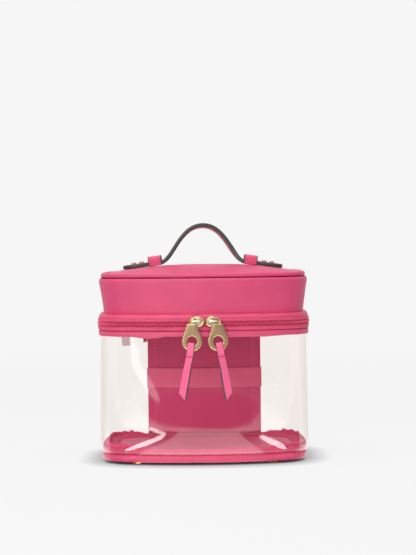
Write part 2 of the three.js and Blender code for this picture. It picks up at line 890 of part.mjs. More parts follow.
// The curled lip that takes the pull round behind the slider's pin.
function sleeveSection() {
  const steps = roundSteps / 2;
  const inner = pinRadius + fit;
  const outer = inner + sleeveThickness;
  const turn = (i) => sleeveStart + ((sleeveEnd - sleeveStart) * i) / steps;
  const arc = (radius) => Array.from({ length: steps + 1 }, (unused, i) => [
    frontBowRadius + pinOut + radius * Math.cos(turn(i)),
    pinLevel + radius * Math.sin(turn(i)),
  ]);
  return [...arc(outer), ...arc(inner).reverse()];
}

function pull() {
  const out = frontBowRadius + pinOut - pullThickness / 2;
  const sleeveTo = pinLength / 2 - legWidth - fit;
  return joined([
    frontPlate(pullOutline(), out, pullThickness),
    sidePrism(sleeveSection(), pullOffset - pullNeckWidth / 2, sleeveTo),
  ]);
}

function tabSideView() {
  const centre = frontBowRadius + pinOut;
  const window = pullThickness / 2 + fit;
  const outer = window + tabLayer;
  const top = holeLevel - tabLoopRise;
  const rimBottom = holeLevel - pullOuterRadius - fit;
  const bind = top - tabBindDrop;
  const tip = top - tabLength;
  const shoulderShare = 0.7;
  const profile = [
    [centre - outer, top - tabLayer * shoulderShare],
    [centre - window, top],
    [centre + window, top],
    [centre + outer, top - tabLayer * shoulderShare],
    [centre + outer, rimBottom + tabLayer],
    [centre + tabLayer, bind],
    [centre + tabLayer, tip],
    [centre - tabLayer, tip],
    [centre - tabLayer, bind],
    [centre - outer, rimBottom + tabLayer],
  ];
  const opening = [
    [centre - window, top - tabLayer],
    [centre - window, rimBottom],
    [centre + window, rimBottom],
    [centre + window, top - tabLayer],
  ];
  return { profile, opening };
}

function pullTab() {
  const { profile, opening } = tabSideView();
  const half = tabWidth / 2;
  const top = holeLevel;
  const tip = holeLevel - tabLoopRise - tabLength;
  const face = new THREE.Shape([
    new THREE.Vector2(pullOffset - half, top),
    new THREE.Vector2(pullOffset - half, tip),
    new THREE.Vector2(pullOffset + half, tip + tabTipSlant),
    new THREE.Vector2(pullOffset + half, top),
  ]);
  const deep = tabLength;
  const front = frontPlate(face, frontBowRadius + pinOut - deep / 2, deep);
  const side = sidePrism(profile, pullOffset - tabWidth, pullOffset + tabWidth, [opening]);
  return geometryOf(solidOf(side).intersect(solidOf(front)));
}

function sliderGroup(word, side) {
  const shape = (geometry) => (side > 0 ? geometry : mirroredX(geometry));
  const group = new THREE.Group();
  group.name = `slider_${word}_track`;
  group.position.set(0, bowCentreY, 0);
  group.rotation.z = (side * sliderReach + sliderShift) / frontBowRadius;
  group.add(named(`slider_${word}`, shape(slider()), gold));
  const swing = pivot(`pull_${word}_pivot`, side * pullOffset, -frontBowRadius - pinOut, pinLevel);
  swing.inner.add(named(`pull_${word}`, shape(pull()), gold));
  const lean = pivot(`tab_${word}_pivot`, side * pullOffset, -frontBowRadius - pinOut, holeLevel);
  lean.outer.rotation.y = side > 0 ? -tabLeanRight : tabLeanLeft;
  lean.inner.add(named(`pull_tab_${word}`, shape(pullTab()), pinkLeather));
  swing.inner.add(lean.outer);
  group.add(swing.outer);
  return group;
}

// Assembly, stood on the ground plane with the box centre over the origin

function assemble() {
  const root = new THREE.Group();
  root.add(...baseParts(), ...wallParts(), ...lowerZipParts());
  const lid = pivot('lid_pivot', 0, halfDepth + hingeStandoff, partingLevel);
  lid.inner.add(...lidParts(), ...handleParts());
  root.add(lid.outer, sliderGroup('left', -1), sliderGroup('right', 1));
  root.updateMatrixWorld(true);
  const bounds = new THREE.Box3().setFromObject(root, true);
  const centre = bounds.getCenter(new THREE.Vector3());
  root.position.set(-centre.x, -centre.y, -bounds.min.z);
  return root;
}

export default assemble();
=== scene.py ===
"""Looks of a small makeup train case: clear wall, padded leather lid, zip, handle and fittings."""
import json
import math

import bmesh
import bpy
from mathutils import Matrix, Vector, noise

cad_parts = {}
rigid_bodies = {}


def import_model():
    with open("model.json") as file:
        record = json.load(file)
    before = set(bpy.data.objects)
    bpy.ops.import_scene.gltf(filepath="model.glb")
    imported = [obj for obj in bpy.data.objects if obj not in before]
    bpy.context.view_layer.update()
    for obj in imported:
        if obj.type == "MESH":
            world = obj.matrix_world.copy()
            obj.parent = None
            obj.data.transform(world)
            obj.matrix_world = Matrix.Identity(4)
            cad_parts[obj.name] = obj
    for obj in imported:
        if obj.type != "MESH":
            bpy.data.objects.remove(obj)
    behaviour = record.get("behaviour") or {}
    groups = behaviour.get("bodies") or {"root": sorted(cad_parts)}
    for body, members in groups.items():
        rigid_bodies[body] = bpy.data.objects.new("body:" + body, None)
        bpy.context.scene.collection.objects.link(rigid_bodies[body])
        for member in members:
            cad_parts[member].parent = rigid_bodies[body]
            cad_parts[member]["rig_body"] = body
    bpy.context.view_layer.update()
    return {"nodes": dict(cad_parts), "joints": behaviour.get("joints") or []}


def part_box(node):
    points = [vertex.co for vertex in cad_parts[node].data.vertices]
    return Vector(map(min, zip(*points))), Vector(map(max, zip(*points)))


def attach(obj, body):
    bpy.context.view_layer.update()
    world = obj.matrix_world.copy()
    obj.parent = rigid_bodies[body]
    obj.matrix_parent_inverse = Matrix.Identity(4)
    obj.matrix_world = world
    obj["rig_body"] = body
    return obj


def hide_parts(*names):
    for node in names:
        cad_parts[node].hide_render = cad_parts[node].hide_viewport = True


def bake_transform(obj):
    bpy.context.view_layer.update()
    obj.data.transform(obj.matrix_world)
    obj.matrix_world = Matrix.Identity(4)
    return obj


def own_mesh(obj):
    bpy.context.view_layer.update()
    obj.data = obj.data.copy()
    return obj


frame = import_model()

bl_info = {
    "name": "Makeup train case looks",
    "version": (1, 0, 0),
    "blender": (4, 5, 0),
    "location": "3D View > Sidebar > Train case",
    "description": "Builds the leather, vinyl, zip and metal of a makeup train case",
    "category": "Add Mesh",
}

MM = 0.001


def low(node):
    """Lowest corner of a node of the frame."""
    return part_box(node)[0]


def high(node):
    """Highest corner of a node of the frame."""
    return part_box(node)[1]


def joint(name):
    """A joint of the frame, by its name."""
    return next(j for j in frame["joints"] if j["name"] == name)


# Plan outline, measured on the outer face of the clear wall
HALF_WIDTH = 99.4 * MM
HALF_DEPTH = 68 * MM
BOW_RADIUS = 270 * MM
SIDE_RADIUS = 520 * MM
CORNER_RADIUS = 32 * MM
PLAN_Y = (low("lid_piping").y + high("lid_piping").y) / 2
BOW_STEPS = 16
CORNER_STEPS = 10
SIDE_STEPS = 8
REAR_STEPS = 4
WELD = 0.00001

# Brightness of the surround as it is seen, and as light
PALE = 0.9216
SURROUND_LIGHT = 0.5

# Share of the lamps' light that the floor shows, and the glow it adds of its own, which occlusion
# darkens near the case into a painted contact shadow
FLOOR_SHARE = 0.1
FLOOR_GLOW = 0.828

# The table in gloss, a painted reflection that glows on the floor: the strength of its glow, the
# painted dark round, and the two painted dark wings
PAINTED_REFLECTION_GLOW = 2.9
ROUND_PLACE = (-0.03, -0.85, 0)
ROUND_RADIUS = 0.38
WING_START = 0.052
WING_SHIFT = 0.0075
WING_SKEW = 0.06
WING_FLARE = 0.13

# Soft lamps: name, place, target, size and power
LAMPS = (
    ("top_lamp", (-0.1, -0.3, 1.3), (0, 0, 0.1), (0.9, 0.7), 7.5),
    ("front_lamp", (-0.5, -1.65, 0.55), (0, 0, 0.08), (0.8, 0.9), 12),
)

# Strips that only gloss shows: name, place, turn in degrees, size and power
STRIPS = (
    ("slanted_strip", (-0.32, -0.597, 0.05), (90, -68.5, -22.2), (0.022, 0.18), 0.028),
    ("left_table_strip", (-0.103, -0.2, 0.002), (180, 0, -7.8), (0.022, 0.27), 0.17),
    ("left_far_strip", (-0.165, -0.368, 0.002), (180, 0, -41), (0.028, 0.13), 0.1),
    ("right_table_strip", (0.118, -0.17, 0.002), (180, 0, 16.5), (0.022, 0.22), 0.12),
)

# Camera, with its dip and roll in degrees
CAMERA_PLACE = (0.0049, -1.665, 0.220)
CAMERA_LENS = 111.6
CAMERA_DIP = 1.582
CAMERA_ROLL = -0.65

# Levels and faces that come from the frame
PANEL_HALF = high("back_panel_outer").x
BAND_START = PANEL_HALF + 0.3 * MM
WALL_START = PANEL_HALF - 8 * MM
PARTING_Z = joint("lid_hinge")["pos_m"][2]
FLOOR_Z = (low("floor_lining").z + high("floor_lining").z) / 2
WALL_FOOT = low("clear_wall").z
WALL_TOP = high("clear_wall").z
BAND_FOOT = low("lid_band").z

# Sheets and seams
LEATHER = 1.2 * MM
SHEET_EDGE = 0.4 * MM
VINYL = 0.8 * MM
INNER_GLOSS = 0.2
THREAD = 0.3 * MM
SEAM_PITCH = 3.2 * MM

# Turn that stands a flat drawing up, to face the front
UPRIGHT = Matrix.Rotation(math.pi / 2, 4, "X")
SIDES = {"left": -1, "right": 1}

# Crown of the lid's top
CROWN_PEAK = high("lid_top_panel").z
CROWN_RISE = 8.1 * MM
CROWN_POWER = 2.3
CROWN_INSET = 6 * MM
CROWN_THICKNESS = 1.6 * MM

# Handle, with the slope that its ends slide along
STRAP_WIDTH = 21 * MM
STRAP_THICKNESS = 3.8 * MM
END_INNER = 43.5 * MM
END_OUTER = 77.2 * MM
KEEPER_INNER = 39.2 * MM
KEEPER_WIDTH = 13 * MM
KEEPER_HEIGHT = 9.2 * MM
KEEPER_WALL = 1.3 * MM
KEEPER_FOOT = -0.375 * MM
KEEPER_GAP = 0.3 * MM
STUD_PLACES = (59.1 * MM, 66.5 * MM)
REST_GAP = 0.95 * MM
ARCH_STEPS = 30
REST_X = KEEPER_INNER + KEEPER_WIDTH / 2
SLOPE = math.asin(-joint("handle_right_slide")["axis"][2])

# Sliders, pulls and tabs, measured outwards from the clear wall and up from the pin
SLIDER_REACH = 7.75 * MM
SLIDER_SHIFT = 1.45 * MM
PLATE_LENGTH = 13.2 * MM
PLATE_HEIGHT = 10.4 * MM
PLATE_SHIFT = 0.9 * MM
PLATE_RISE = 1.7 * MM
BACK_PLATE_HEIGHT = 9.6 * MM
PLATE_INNER = 2.5 * MM
PLATE_OUTER = 4 * MM
PIN_OUT = 6.8 * MM
PIN_RISE = 2.3 * MM
PIN_RADIUS = 1.1 * MM
PIN_HALF = 4.65 * MM
PULL_OFFSET = 4.2 * MM
PULL_TOP = 2.5 * MM
PULL_LENGTH = 16 * MM
PULL_NECK = 8.6 * MM
PULL_RADIUS = 9.25 * MM
PULL_HOLE = 4.75 * MM
PULL_THICKNESS = 1.8 * MM
PULL_LEVEL = PIN_RISE - PULL_TOP - PULL_LENGTH
TAB_WIDTH = 6.6 * MM
TAB_LENGTH = 54.4 * MM
TAB_RISE = 1.45 * MM
TAB_BIND = 12.8 * MM


def shade(red, green, blue):
    """A colour given as it shows on a screen, from 0 to 255, in Blender's linear values."""
    def linear(value):
        share = value / 255
        return share / 12.92 if share <= 0.04045 else ((share + 0.055) / 1.055) ** 2.4
    return (linear(red), linear(green), linear(blue))


def colour(name, default, text):
    """One colour that a user can change."""
    return bpy.props.FloatVectorProperty(
        name=name, description=text, subtype="COLOR", size=3, min=0, max=1, default=default)


def length(name, default, text):
    """One size that a user can change."""
    return bpy.props.FloatProperty(
        name=name, description=text, default=default, min=0, unit="LENGTH", precision=4)


class TrainCaseColours(bpy.types.PropertyGroup):
    """Colours of the case's finishes."""
    leather: colour("Leather", shade(218, 67, 114), "Lid band, top and keepers")
    roll: colour("Rolls", shade(222, 72, 114), "Piping, welt and zip bindings")
    handle: colour("Handle", shade(222, 74, 112), "Flat faces of the handle strap")
    tab: colour("Pull tabs", shade(252, 102, 149), "Leather tabs on the zip pulls")
    lining: colour("Lining", shade(211, 35, 110), "Inside of the rear panel and lid")
    floor: colour("Floor", shade(252, 112, 160), "Lining on the floor")
    tape: colour("Zip tape", shade(222, 70, 112), "Woven tape and its coils")
    edge: colour("Edge paint", shade(58, 57, 56), "Painted leather edges")
    gold: colour("Gold", shade(147, 122, 93), "Sliders, pulls and studs")
    vinyl: colour("Clear wall", shade(255, 253.6, 252.4), "Tint of the clear wall")


class TrainCaseSizes(bpy.types.PropertyGroup):
    """Sizes of the looks that the frame leaves free."""
    grain: length("Leather grain", 0.9 * MM, "Width of one grain of the leather")
    grain_depth: length("Grain depth", 0.05 * MM, "Depth of the leather grain")
    droop: length("Binding droop", 1.9 * MM, "How far the zip binding hangs at its lowest")
    coil_pitch: length("Coil pitch", 2.1 * MM, "Distance from one zip coil to the next")
    stitch: length("Stitch", 2.2 * MM, "Length of one stitch")
    pucker: length("Pucker", 0.5 * MM, "Depth of the folds in the gathered binding")


def colours():
    """The scene's colours."""
    return bpy.context.scene.train_case_colours


def sizes():
    """The scene's sizes."""
    return bpy.context.scene.train_case_sizes


# Materials


def add(tree, kind, inputs=None, **settings):
    """Adds a node, sets its settings, and links or sets its inputs."""
    node = tree.nodes.new(kind)
    for key, value in settings.items():
        setattr(node, key, value)
    for key, value in (inputs or {}).items():
        if isinstance(value, bpy.types.NodeSocket):
            tree.links.new(value, node.inputs[key])
        else:
            node.inputs[key].default_value = value
    return node


def maths(tree, operation, *values, **settings):
    """What a Math node makes of some numbers or sockets."""
    return add(tree, "ShaderNodeMath", dict(enumerate(values)), operation=operation,
               **settings).outputs["Value"]


def ramp(tree, value, start, end, first, last, **settings):
    """A value carried from the range start to end over to the range first to last."""
    return add(tree, "ShaderNodeMapRange", {
        "Value": value, "From Min": start, "From Max": end, "To Min": first, "To Max": last},
        **settings).outputs["Result"]


def specks(tree, place, scale, detail):
    """Soft noise from 0 to 1."""
    return add(tree, "ShaderNodeTexNoise", {
        "Vector": place, "Scale": scale, "Detail": detail}).outputs["Fac"]


def mixed(tree, share, one, other):
    """Two shaders mixed by the second one's share."""
    return add(tree, "ShaderNodeMixShader", {0: share, 1: one, 2: other}).outputs["Shader"]


def surface(tree, shader):
    """Makes a shader the material's surface."""
    tree.links.new(shader, tree.nodes["Material Output"].inputs["Surface"])


def blank(name, base=(0.5, 0.5, 0.5), roughness=0.5, metallic=0.0):
    """A new material with one Principled shader, its tree and a piece's own coordinates."""
    material = bpy.data.materials.new(name)
    material.use_nodes = True
    tree = material.node_tree
    shader = tree.nodes["Principled BSDF"]
    shader.inputs["Base Color"].default_value = (*base, 1)
    shader.inputs["Roughness"].default_value = roughness
    shader.inputs["Metallic"].default_value = metallic
    place = add(tree, "ShaderNodeTexCoord").outputs["Object"]
    return material, tree, shader, place


def toned(tree, shader, place, base, scale, spread):
    """Lets a colour drift a little lighter and darker over the piece."""
    share = ramp(tree, specks(tree, place, scale, 3.0), 0.3, 0.7, 1 - spread, 1 + spread)
    tone = add(tree, "ShaderNodeVectorMath", {0: (*base,), "Scale": share}, operation="SCALE")
    tree.links.new(tone.outputs["Vector"], shader.inputs["Base Color"])


def bump(tree, shader, height, depth, strength=1.0):
    """Raises the surface by a height pattern of a real depth."""
    node = add(tree, "ShaderNodeBump", {"Height": height, "Distance": depth, "Strength": strength})
    tree.links.new(node.outputs["Normal"], shader.inputs["Normal"])


def leather(name, base, roughness=0.45, grain=1.0, depth=1.0):
    """Grained leather: rounded cells with fine pores, and a slow drift in tone."""
    material, tree, shader, place = blank(name, base, roughness)
    cells = add(tree, "ShaderNodeTexVoronoi", {
        "Vector": place, "Scale": 1 / (sizes().grain * grain), "Randomness": 0.9},
        feature="SMOOTH_F1")
    pores = specks(tree, place, 3 / sizes().grain, 4.0)
    height = maths(tree, "MULTIPLY_ADD", pores, 0.6, cells.outputs["Distance"])
    bump(tree, shader, height, sizes().grain_depth * depth * 4)
    toned(tree, shader, place, base, 35.0, 0.05)
    worn = ramp(tree, pores, 0, 1, roughness - 0.06, roughness + 0.08)
    tree.links.new(worn, shader.inputs["Roughness"])
    return material


def cloth(name, base, roughness=0.85, thread=0.5 * MM, depth=0.08 * MM):
    """Plain woven cloth: fine threads that cross, with a slow drift in tone."""
    material, tree, shader, place = blank(name, base, roughness)
    shader.inputs["Sheen Weight"].default_value = 0.15
    threads = [
        add(tree, "ShaderNodeTexWave", {"Vector": place, "Scale": 0.3 / thread, "Distortion": 0.6},
            bands_direction=way).outputs["Fac"] for way in ("DIAGONAL", "Z")]
    bump(tree, shader, maths(tree, "ADD", *threads), depth, 0.6)
    toned(tree, shader, place, base, 50.0, 0.06)
    return material


def thin_cloth(name, base, cover):
    """Cloth so thin that what is behind shows through it."""
    material = cloth(name, base, 0.8, 0.35 * MM, 0.04 * MM)
    material.node_tree.nodes["Principled BSDF"].inputs["Alpha"].default_value = cover
    return material


def metal(name, base, roughness, brushing=0.0):
    """Plated metal, brushed fine along its length or polished."""
    material, tree, shader, place = blank(name, base, roughness, 1.0)
    stretched = add(tree, "ShaderNodeMapping", {"Vector": place, "Scale": (900, 900, 9000)})
    lines = specks(tree, stretched.outputs["Vector"], 1.0, 2.0)
    spread = ramp(tree, lines, 0, 1, roughness * 0.8, roughness * 1.25)
    tree.links.new(spread, shader.inputs["Roughness"])
    bump(tree, shader, lines, 0.01 * MM, 0.2 + brushing)
    return material


def painted_edge(name, base):
    """Edge paint: a thick, slightly lumpy coat."""
    material, tree, shader, place = blank(name, base, 0.4)
    bump(tree, shader, specks(tree, place, 700.0, 2.0), 0.12 * MM, 0.5)
    toned(tree, shader, place, base, 90.0, 0.12)
    return material


def crumbly(name, base, size, depth, roughness=0.9):
    """Pressed board, foam or moulded coil: small crumbs or cells."""
    material, tree, shader, place = blank(name, base, roughness)
    crumbs = add(tree, "ShaderNodeTexVoronoi", {"Vector": place, "Scale": 1 / size})
    bump(tree, shader, crumbs.outputs["Distance"], depth, 0.7)
    toned(tree, shader, place, base, 1 / (6 * size), 0.1)
    return material


def clear_sheet(name, tint):
    """Clear vinyl: a faint tint, and gloss on outward faces that grows at its edges."""
    material, tree, shader, place = blank(name, (1, 1, 1), 0.05, 1.0)
    bump(tree, shader, specks(tree, place, 16.0, 1.0), 0.12 * MM, 0.5)
    facing = add(tree, "ShaderNodeLayerWeight", {"Blend": 0.5}).outputs["Facing"]
    stain = add(tree, "ShaderNodeMix", {
        "Factor": maths(tree, "POWER", facing, 3.0), "A": (*tint, 1),
        "B": (*shade(248, 245, 243), 1)}, data_type="RGBA")
    through = add(tree, "ShaderNodeBsdfTransparent", {"Color": stain.outputs[2]})
    gloss = ramp(tree, maths(tree, "POWER", facing, 4.0), 0, 1, 0.05, 0.42)
    side = add(tree, "ShaderNodeNewGeometry")
    outward = add(tree, "ShaderNodeVectorMath", {0: place, 1: side.outputs["Normal"]},
                  operation="DOT_PRODUCT")
    outer = ramp(tree, outward.outputs["Value"], -0.01, 0.01, INNER_GLOSS, 1)
    share = maths(tree, "SUBTRACT", maths(tree, "MULTIPLY", gloss, outer),
                  side.outputs["Backfacing"], use_clamp=True)
    surface(tree, mixed(tree, share, through.outputs["BSDF"], shader.outputs["BSDF"]))
    return material


FINISHES = {
    "grained_leather": lambda name: leather(name, colours().leather),
    "roll_leather": lambda name: leather(name, colours().roll, 0.42, 0.8, 0.7),
    "strap_faces": lambda name: leather(name, colours().handle, 0.45, 0.8),
    "tab_faces": lambda name: leather(name, colours().tab, 0.45, 0.7, 0.8),
    "brush_strap_leather": lambda name: leather(name, shade(229, 82, 132), 0.5, 0.8, 0.6),
    "floor_leather": lambda name: leather(name, colours().floor, 0.5, 0.8, 0.6),
    "lining_leather": lambda name: leather(name, colours().lining, 0.6, 0.6, 0.6),
    "gathered_cloth": lambda name: cloth(name, shade(226, 66, 122), 0.8),
    "woven_tape": lambda name: cloth(name, colours().tape, 0.7, 0.45 * MM, 0.06 * MM),
    "coil": lambda name: crumbly(name, shade(238, 88, 124), 0.3 * MM, 0.02 * MM, 0.45),
    # The web's dark colour is painted shade for the grooves between the coils and the tapes.
    "zip_web": lambda name: cloth(name, shade(172, 30, 76), 0.85, 0.45 * MM, 0.06 * MM),
    "vinyl": lambda name: clear_sheet(name, colours().vinyl),
    "edge_paint": lambda name: painted_edge(name, colours().edge),
    "grey_board": lambda name: crumbly(name, shade(140, 131, 120), 0.7 * MM, 0.08 * MM),
    "white_foam": lambda name: crumbly(name, shade(232, 228, 218), 0.9 * MM, 0.2 * MM),
    "brushed_gold": lambda name: metal(name, colours().gold, 0.42, 0.5),
    "polished_gold": lambda name: metal(name, shade(194, 178, 138), 0.26),
    "stud_gold": lambda name: metal(name, shade(186, 146, 88), 0.3),
    "warm_gold": lambda name: metal(name, shade(222, 152, 70), 0.3),
    "silver_bar": lambda name: metal(name, shade(196, 184, 164), 0.22),
    "foot_brass": lambda name: metal(name, shade(214, 140, 62), 0.22),
    "thread": lambda name: cloth(name, shade(238, 128, 158), 0.7, 0.2 * MM, 0.04 * MM),
    "dark_thread": lambda name: cloth(name, shade(186, 48, 92), 0.7, 0.2 * MM, 0.04 * MM),
    "pale_thread": lambda name: cloth(name, shade(248, 196, 206), 0.7, 0.2 * MM, 0.04 * MM),
    "tag_weave": lambda name: thin_cloth(name, shade(255, 236, 240), 0.55),
}


def finish_named(name):
    """A finish, made the first time that it is asked for."""
    return bpy.data.materials.get(name) or FINISHES[name](name)


# Mesh helpers


def smooth_step(low_end, high_end, value):
    """0 below the low end, 1 above the high end, and a smooth rise between."""
    share = min(1, max(0, (value - low_end) / (high_end - low_end)))
    return share * share * (3 - 2 * share)


def edges_of(geom):
    """The edges in a list of mesh parts."""
    return [g for g in geom if isinstance(g, bmesh.types.BMEdge)]


def verts_of(geom):
    """The vertices in a list of mesh parts."""
    return [g for g in geom if isinstance(g, bmesh.types.BMVert)]


def with_ends(edges):
    """Some edges after the vertices at their ends, which are extruded together."""
    return [*dict.fromkeys(v for e in edges for v in e.verts), *edges]


def round_corners(bm, verts, offset, segments):
    """Rounds corners of a flat outline."""
    bmesh.ops.bevel(bm, geom=verts, offset=offset, offset_type="OFFSET", affect="VERTICES",
                    segments=segments, profile=0.5, material=-1, clamp_overlap=True)


def oblong(inner, outer, bottom, top):
    """The corners of an oblong section."""
    return [(inner, bottom), (outer, bottom), (outer, top), (inner, top)]


def rising(foot, pairs):
    """Points of a section from pairs in millimetres: outwards, and up from a foot."""
    return [(u * MM, foot + z * MM) for u, z in pairs]


def plan_arcs():
    """The plan's arcs from the rear right corner round the front to the rear left one.

    Each is (centre, radius, angle where it starts, angle where it ends, steps). The second
    value is the distance from the middle to where the rear straight ends.
    """
    side_x = HALF_WIDTH - SIDE_RADIUS
    bow_y = BOW_RADIUS - HALF_DEPTH
    rear_y = HALF_DEPTH - CORNER_RADIUS
    rear_x = side_x + math.sqrt((SIDE_RADIUS - CORNER_RADIUS) ** 2 - rear_y ** 2)
    to_bow = BOW_RADIUS - CORNER_RADIUS
    to_side = SIDE_RADIUS - CORNER_RADIUS
    span = math.hypot(side_x, bow_y)
    along = (to_bow ** 2 - to_side ** 2 + span ** 2) / (2 * span)
    across = math.sqrt(to_bow ** 2 - along ** 2)
    front_x = (side_x * along + bow_y * across) / span
    front_y = bow_y + (side_x * across - bow_y * along) / span
    side_rear = math.atan2(rear_y, rear_x - side_x)
    side_front = math.atan2(front_y, front_x - side_x)
    bow_edge = math.atan2(front_y - bow_y, front_x)
    right = [
        ((rear_x, rear_y), CORNER_RADIUS, math.pi / 2, side_rear, CORNER_STEPS),
        ((side_x, 0), SIDE_RADIUS, side_rear, side_front, SIDE_STEPS),
        ((front_x, front_y), CORNER_RADIUS, side_front, bow_edge, CORNER_STEPS),
        ((0, bow_y), BOW_RADIUS, bow_edge, -math.pi / 2, BOW_STEPS),
    ]
    left = [((-x, y), radius, -math.pi - end, -math.pi - start, steps)
            for (x, y), radius, start, end, steps in reversed(right)]
    return right + left, rear_x


def carry(bm, geom, step, steps):
    """Extrudes edges along a straight line, one step at a time."""
    for _ in range(steps):
        made = bmesh.ops.extrude_edge_only(bm, edges=edges_of(geom))["geom"]
        fresh = verts_of(made)
        bmesh.ops.translate(bm, vec=step, verts=fresh)
        chosen = set(fresh)
        geom = fresh + [e for e in edges_of(made) if set(e.verts) <= chosen]
    return geom


def sweep(bm, edges, from_x=0.0, fine=1):
    """Carries a section from the rear face round the plan, to as far on the other side."""
    arcs, corner_x = plan_arcs()
    rear = REAR_STEPS * fine
    step = Vector(((corner_x - from_x) / rear, 0, 0))
    geom = carry(bm, with_ends(edges), step, rear)
    for (x, y), _, start, end, steps in arcs:
        geom = bmesh.ops.spin(
            bm, geom=geom, cent=(x, PLAN_Y + y, 0), axis=(0, 0, 1), angle=end - start,
            steps=steps * fine, use_duplicate=False, use_merge=False)["geom_last"]
    carry(bm, geom, step, rear)
    if from_x == 0:
        bmesh.ops.remove_doubles(bm, verts=bm.verts, dist=WELD)
    else:
        bmesh.ops.holes_fill(bm, edges=[e for e in bm.edges if e.is_boundary], sides=0)


def sweep_sheet(bm, edges, from_x=0.0, fine=1):
    """Carries an open section round the plan, which leaves its rims open."""
    sweep(bm, edges, from_x, fine)
    if from_x:
        wide = [f for f in bm.faces if len(f.verts) > 4]
        bmesh.ops.delete(bm, geom=wide, context="FACES_ONLY")


def rear_point(offset, height, x=0.0):
    """A point on the rear straight."""
    return (x, PLAN_Y + HALF_DEPTH + offset, height)


def ring(bm, corners, rounding, x=0.0, segments=3, rounded=None):
    """A closed section from [offset, height] corners, all of them rounded or only some."""
    verts = [bm.verts.new(rear_point(u, z, x)) for u, z in corners]
    bm.faces.new(verts)
    chosen = verts if rounded is None else [verts[i] for i in rounded]
    round_corners(bm, chosen, rounding, segments)
    bmesh.ops.delete(bm, geom=bm.faces[:], context="FACES_ONLY")
    return bm.edges[:]


def line(bm, points):
    """An open line of edges through some points."""
    verts = [bm.verts.new(p) for p in points]
    return [bm.edges.new(pair) for pair in zip(verts, verts[1:])]


def smooth_points(points, count):
    """More points along a line of a few, on a curve that passes through them."""
    spots = [Vector(p) for p in points]
    spots = [2 * spots[0] - spots[1], *spots, 2 * spots[-1] - spots[-2]]
    spans = len(spots) - 3
    found = []
    for i in range(count + 1):
        place = min(i * spans / count, spans - 1e-9)
        k = int(place)
        t = place - k
        a, b, c, d = spots[k:k + 4]
        found.append(tuple(
            0.5 * (2 * b + (c - a) * t + (2 * a - 5 * b + 4 * c - d) * t ** 2
                   + (3 * b - a - 3 * c + d) * t ** 3)))
    return found


def rear_line(bm, points, count, x=0.0):
    """An open, smooth section from a few [offset, height] points."""
    return line(bm, [rear_point(u, z, x) for u, z in smooth_points(points, count)])


def dome(bm, edges, shares, height):
    """Closes a loop inwards in smaller and smaller rings, at heights from a function.

    A share of 1 is the loop itself and 0 is the middle.
    """
    geom = edges
    past = 1.0
    for share in [*shares, 0.02]:
        made = bmesh.ops.extrude_edge_only(bm, edges=edges_of(geom))["geom"]
        fresh = verts_of(made)
        bmesh.ops.scale(bm, vec=(share / past, share / past, 1), verts=fresh,
                        space=Matrix.Translation((0, -PLAN_Y, 0)))
        for vert in fresh:
            vert.co.z = height(share)
        chosen = set(fresh)
        geom = [e for e in edges_of(made) if set(e.verts) <= chosen]
        past = share
    bmesh.ops.pointmerge(bm, verts=fresh, merge_co=(0, PLAN_Y, height(0)))


def loop_at(bm, height):
    """The open edges of a mesh that lie at one height."""
    return [e for e in bm.edges if e.is_boundary
            and all(abs(v.co.z - height) < WELD for v in e.verts)]


def ripple(bm, amount, size, seed=0.0, squeeze=1.0, keep=None):
    """Moves a surface in and out by smooth, repeatable noise."""
    bm.normal_update()
    moves = []
    for vert in bm.verts:
        spot = Vector((vert.co.x, vert.co.y, vert.co.z * squeeze)) / size
        spot.x += seed
        share = keep(vert.co) if keep else 1.0
        moves.append(vert.normal * noise.noise(spot) * amount * share)
    for vert, move in zip(bm.verts, moves):
        vert.co += move


def to_object(bm, name, *finishes, crease=40, at=None):
    """Turns a finished bmesh into an object at the origin, moved first if a place is given."""
    if at is not None:
        bmesh.ops.transform(bm, matrix=at, verts=bm.verts)
    bmesh.ops.recalc_face_normals(bm, faces=bm.faces)
    mesh = bpy.data.meshes.new(name)
    bm.to_mesh(mesh)
    bm.free()
    for finish in finishes:
        mesh.materials.append(finish_named(finish))
    mesh.shade_smooth()
    mesh.set_sharp_from_angle(angle=math.radians(crease))
    made = bpy.data.objects.new(name, mesh)
    bpy.context.scene.collection.objects.link(made)
    return made


def thicken(piece, thickness, rim=0):
    """Gives a sheet its thickness, with its rim in another finish if one is named."""
    modifier = piece.modifiers.new("thickness", "SOLIDIFY")
    modifier.thickness = thickness
    modifier.offset = 0
    modifier.use_even_offset = True
    modifier.material_offset_rim = rim
    return piece


def round_edges(piece, width, segments=3, angle=40, finish=-1):
    """Rounds the sharp edges of a piece."""
    modifier = piece.modifiers.new("rounding", "BEVEL")
    modifier.width = width
    modifier.segments = segments
    modifier.limit_method = "ANGLE"
    modifier.angle_limit = math.radians(angle)
    modifier.material = finish
    return piece


def settle(piece):
    """Makes a piece's modifiers part of its mesh."""
    bpy.context.view_layer.update()
    graph = bpy.context.evaluated_depsgraph_get()
    piece.data = bpy.data.meshes.new_from_object(piece.evaluated_get(graph), depsgraph=graph)
    piece.modifiers.clear()


def dress(piece, slot, *nodes):
    """A piece rides where its nodes ride and stands for them; the slot is not used."""
    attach(piece, frame["nodes"][nodes[0]]["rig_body"])
    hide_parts(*nodes)


def go_with(piece, body):
    """A small piece that stands for no node."""
    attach(piece, body)


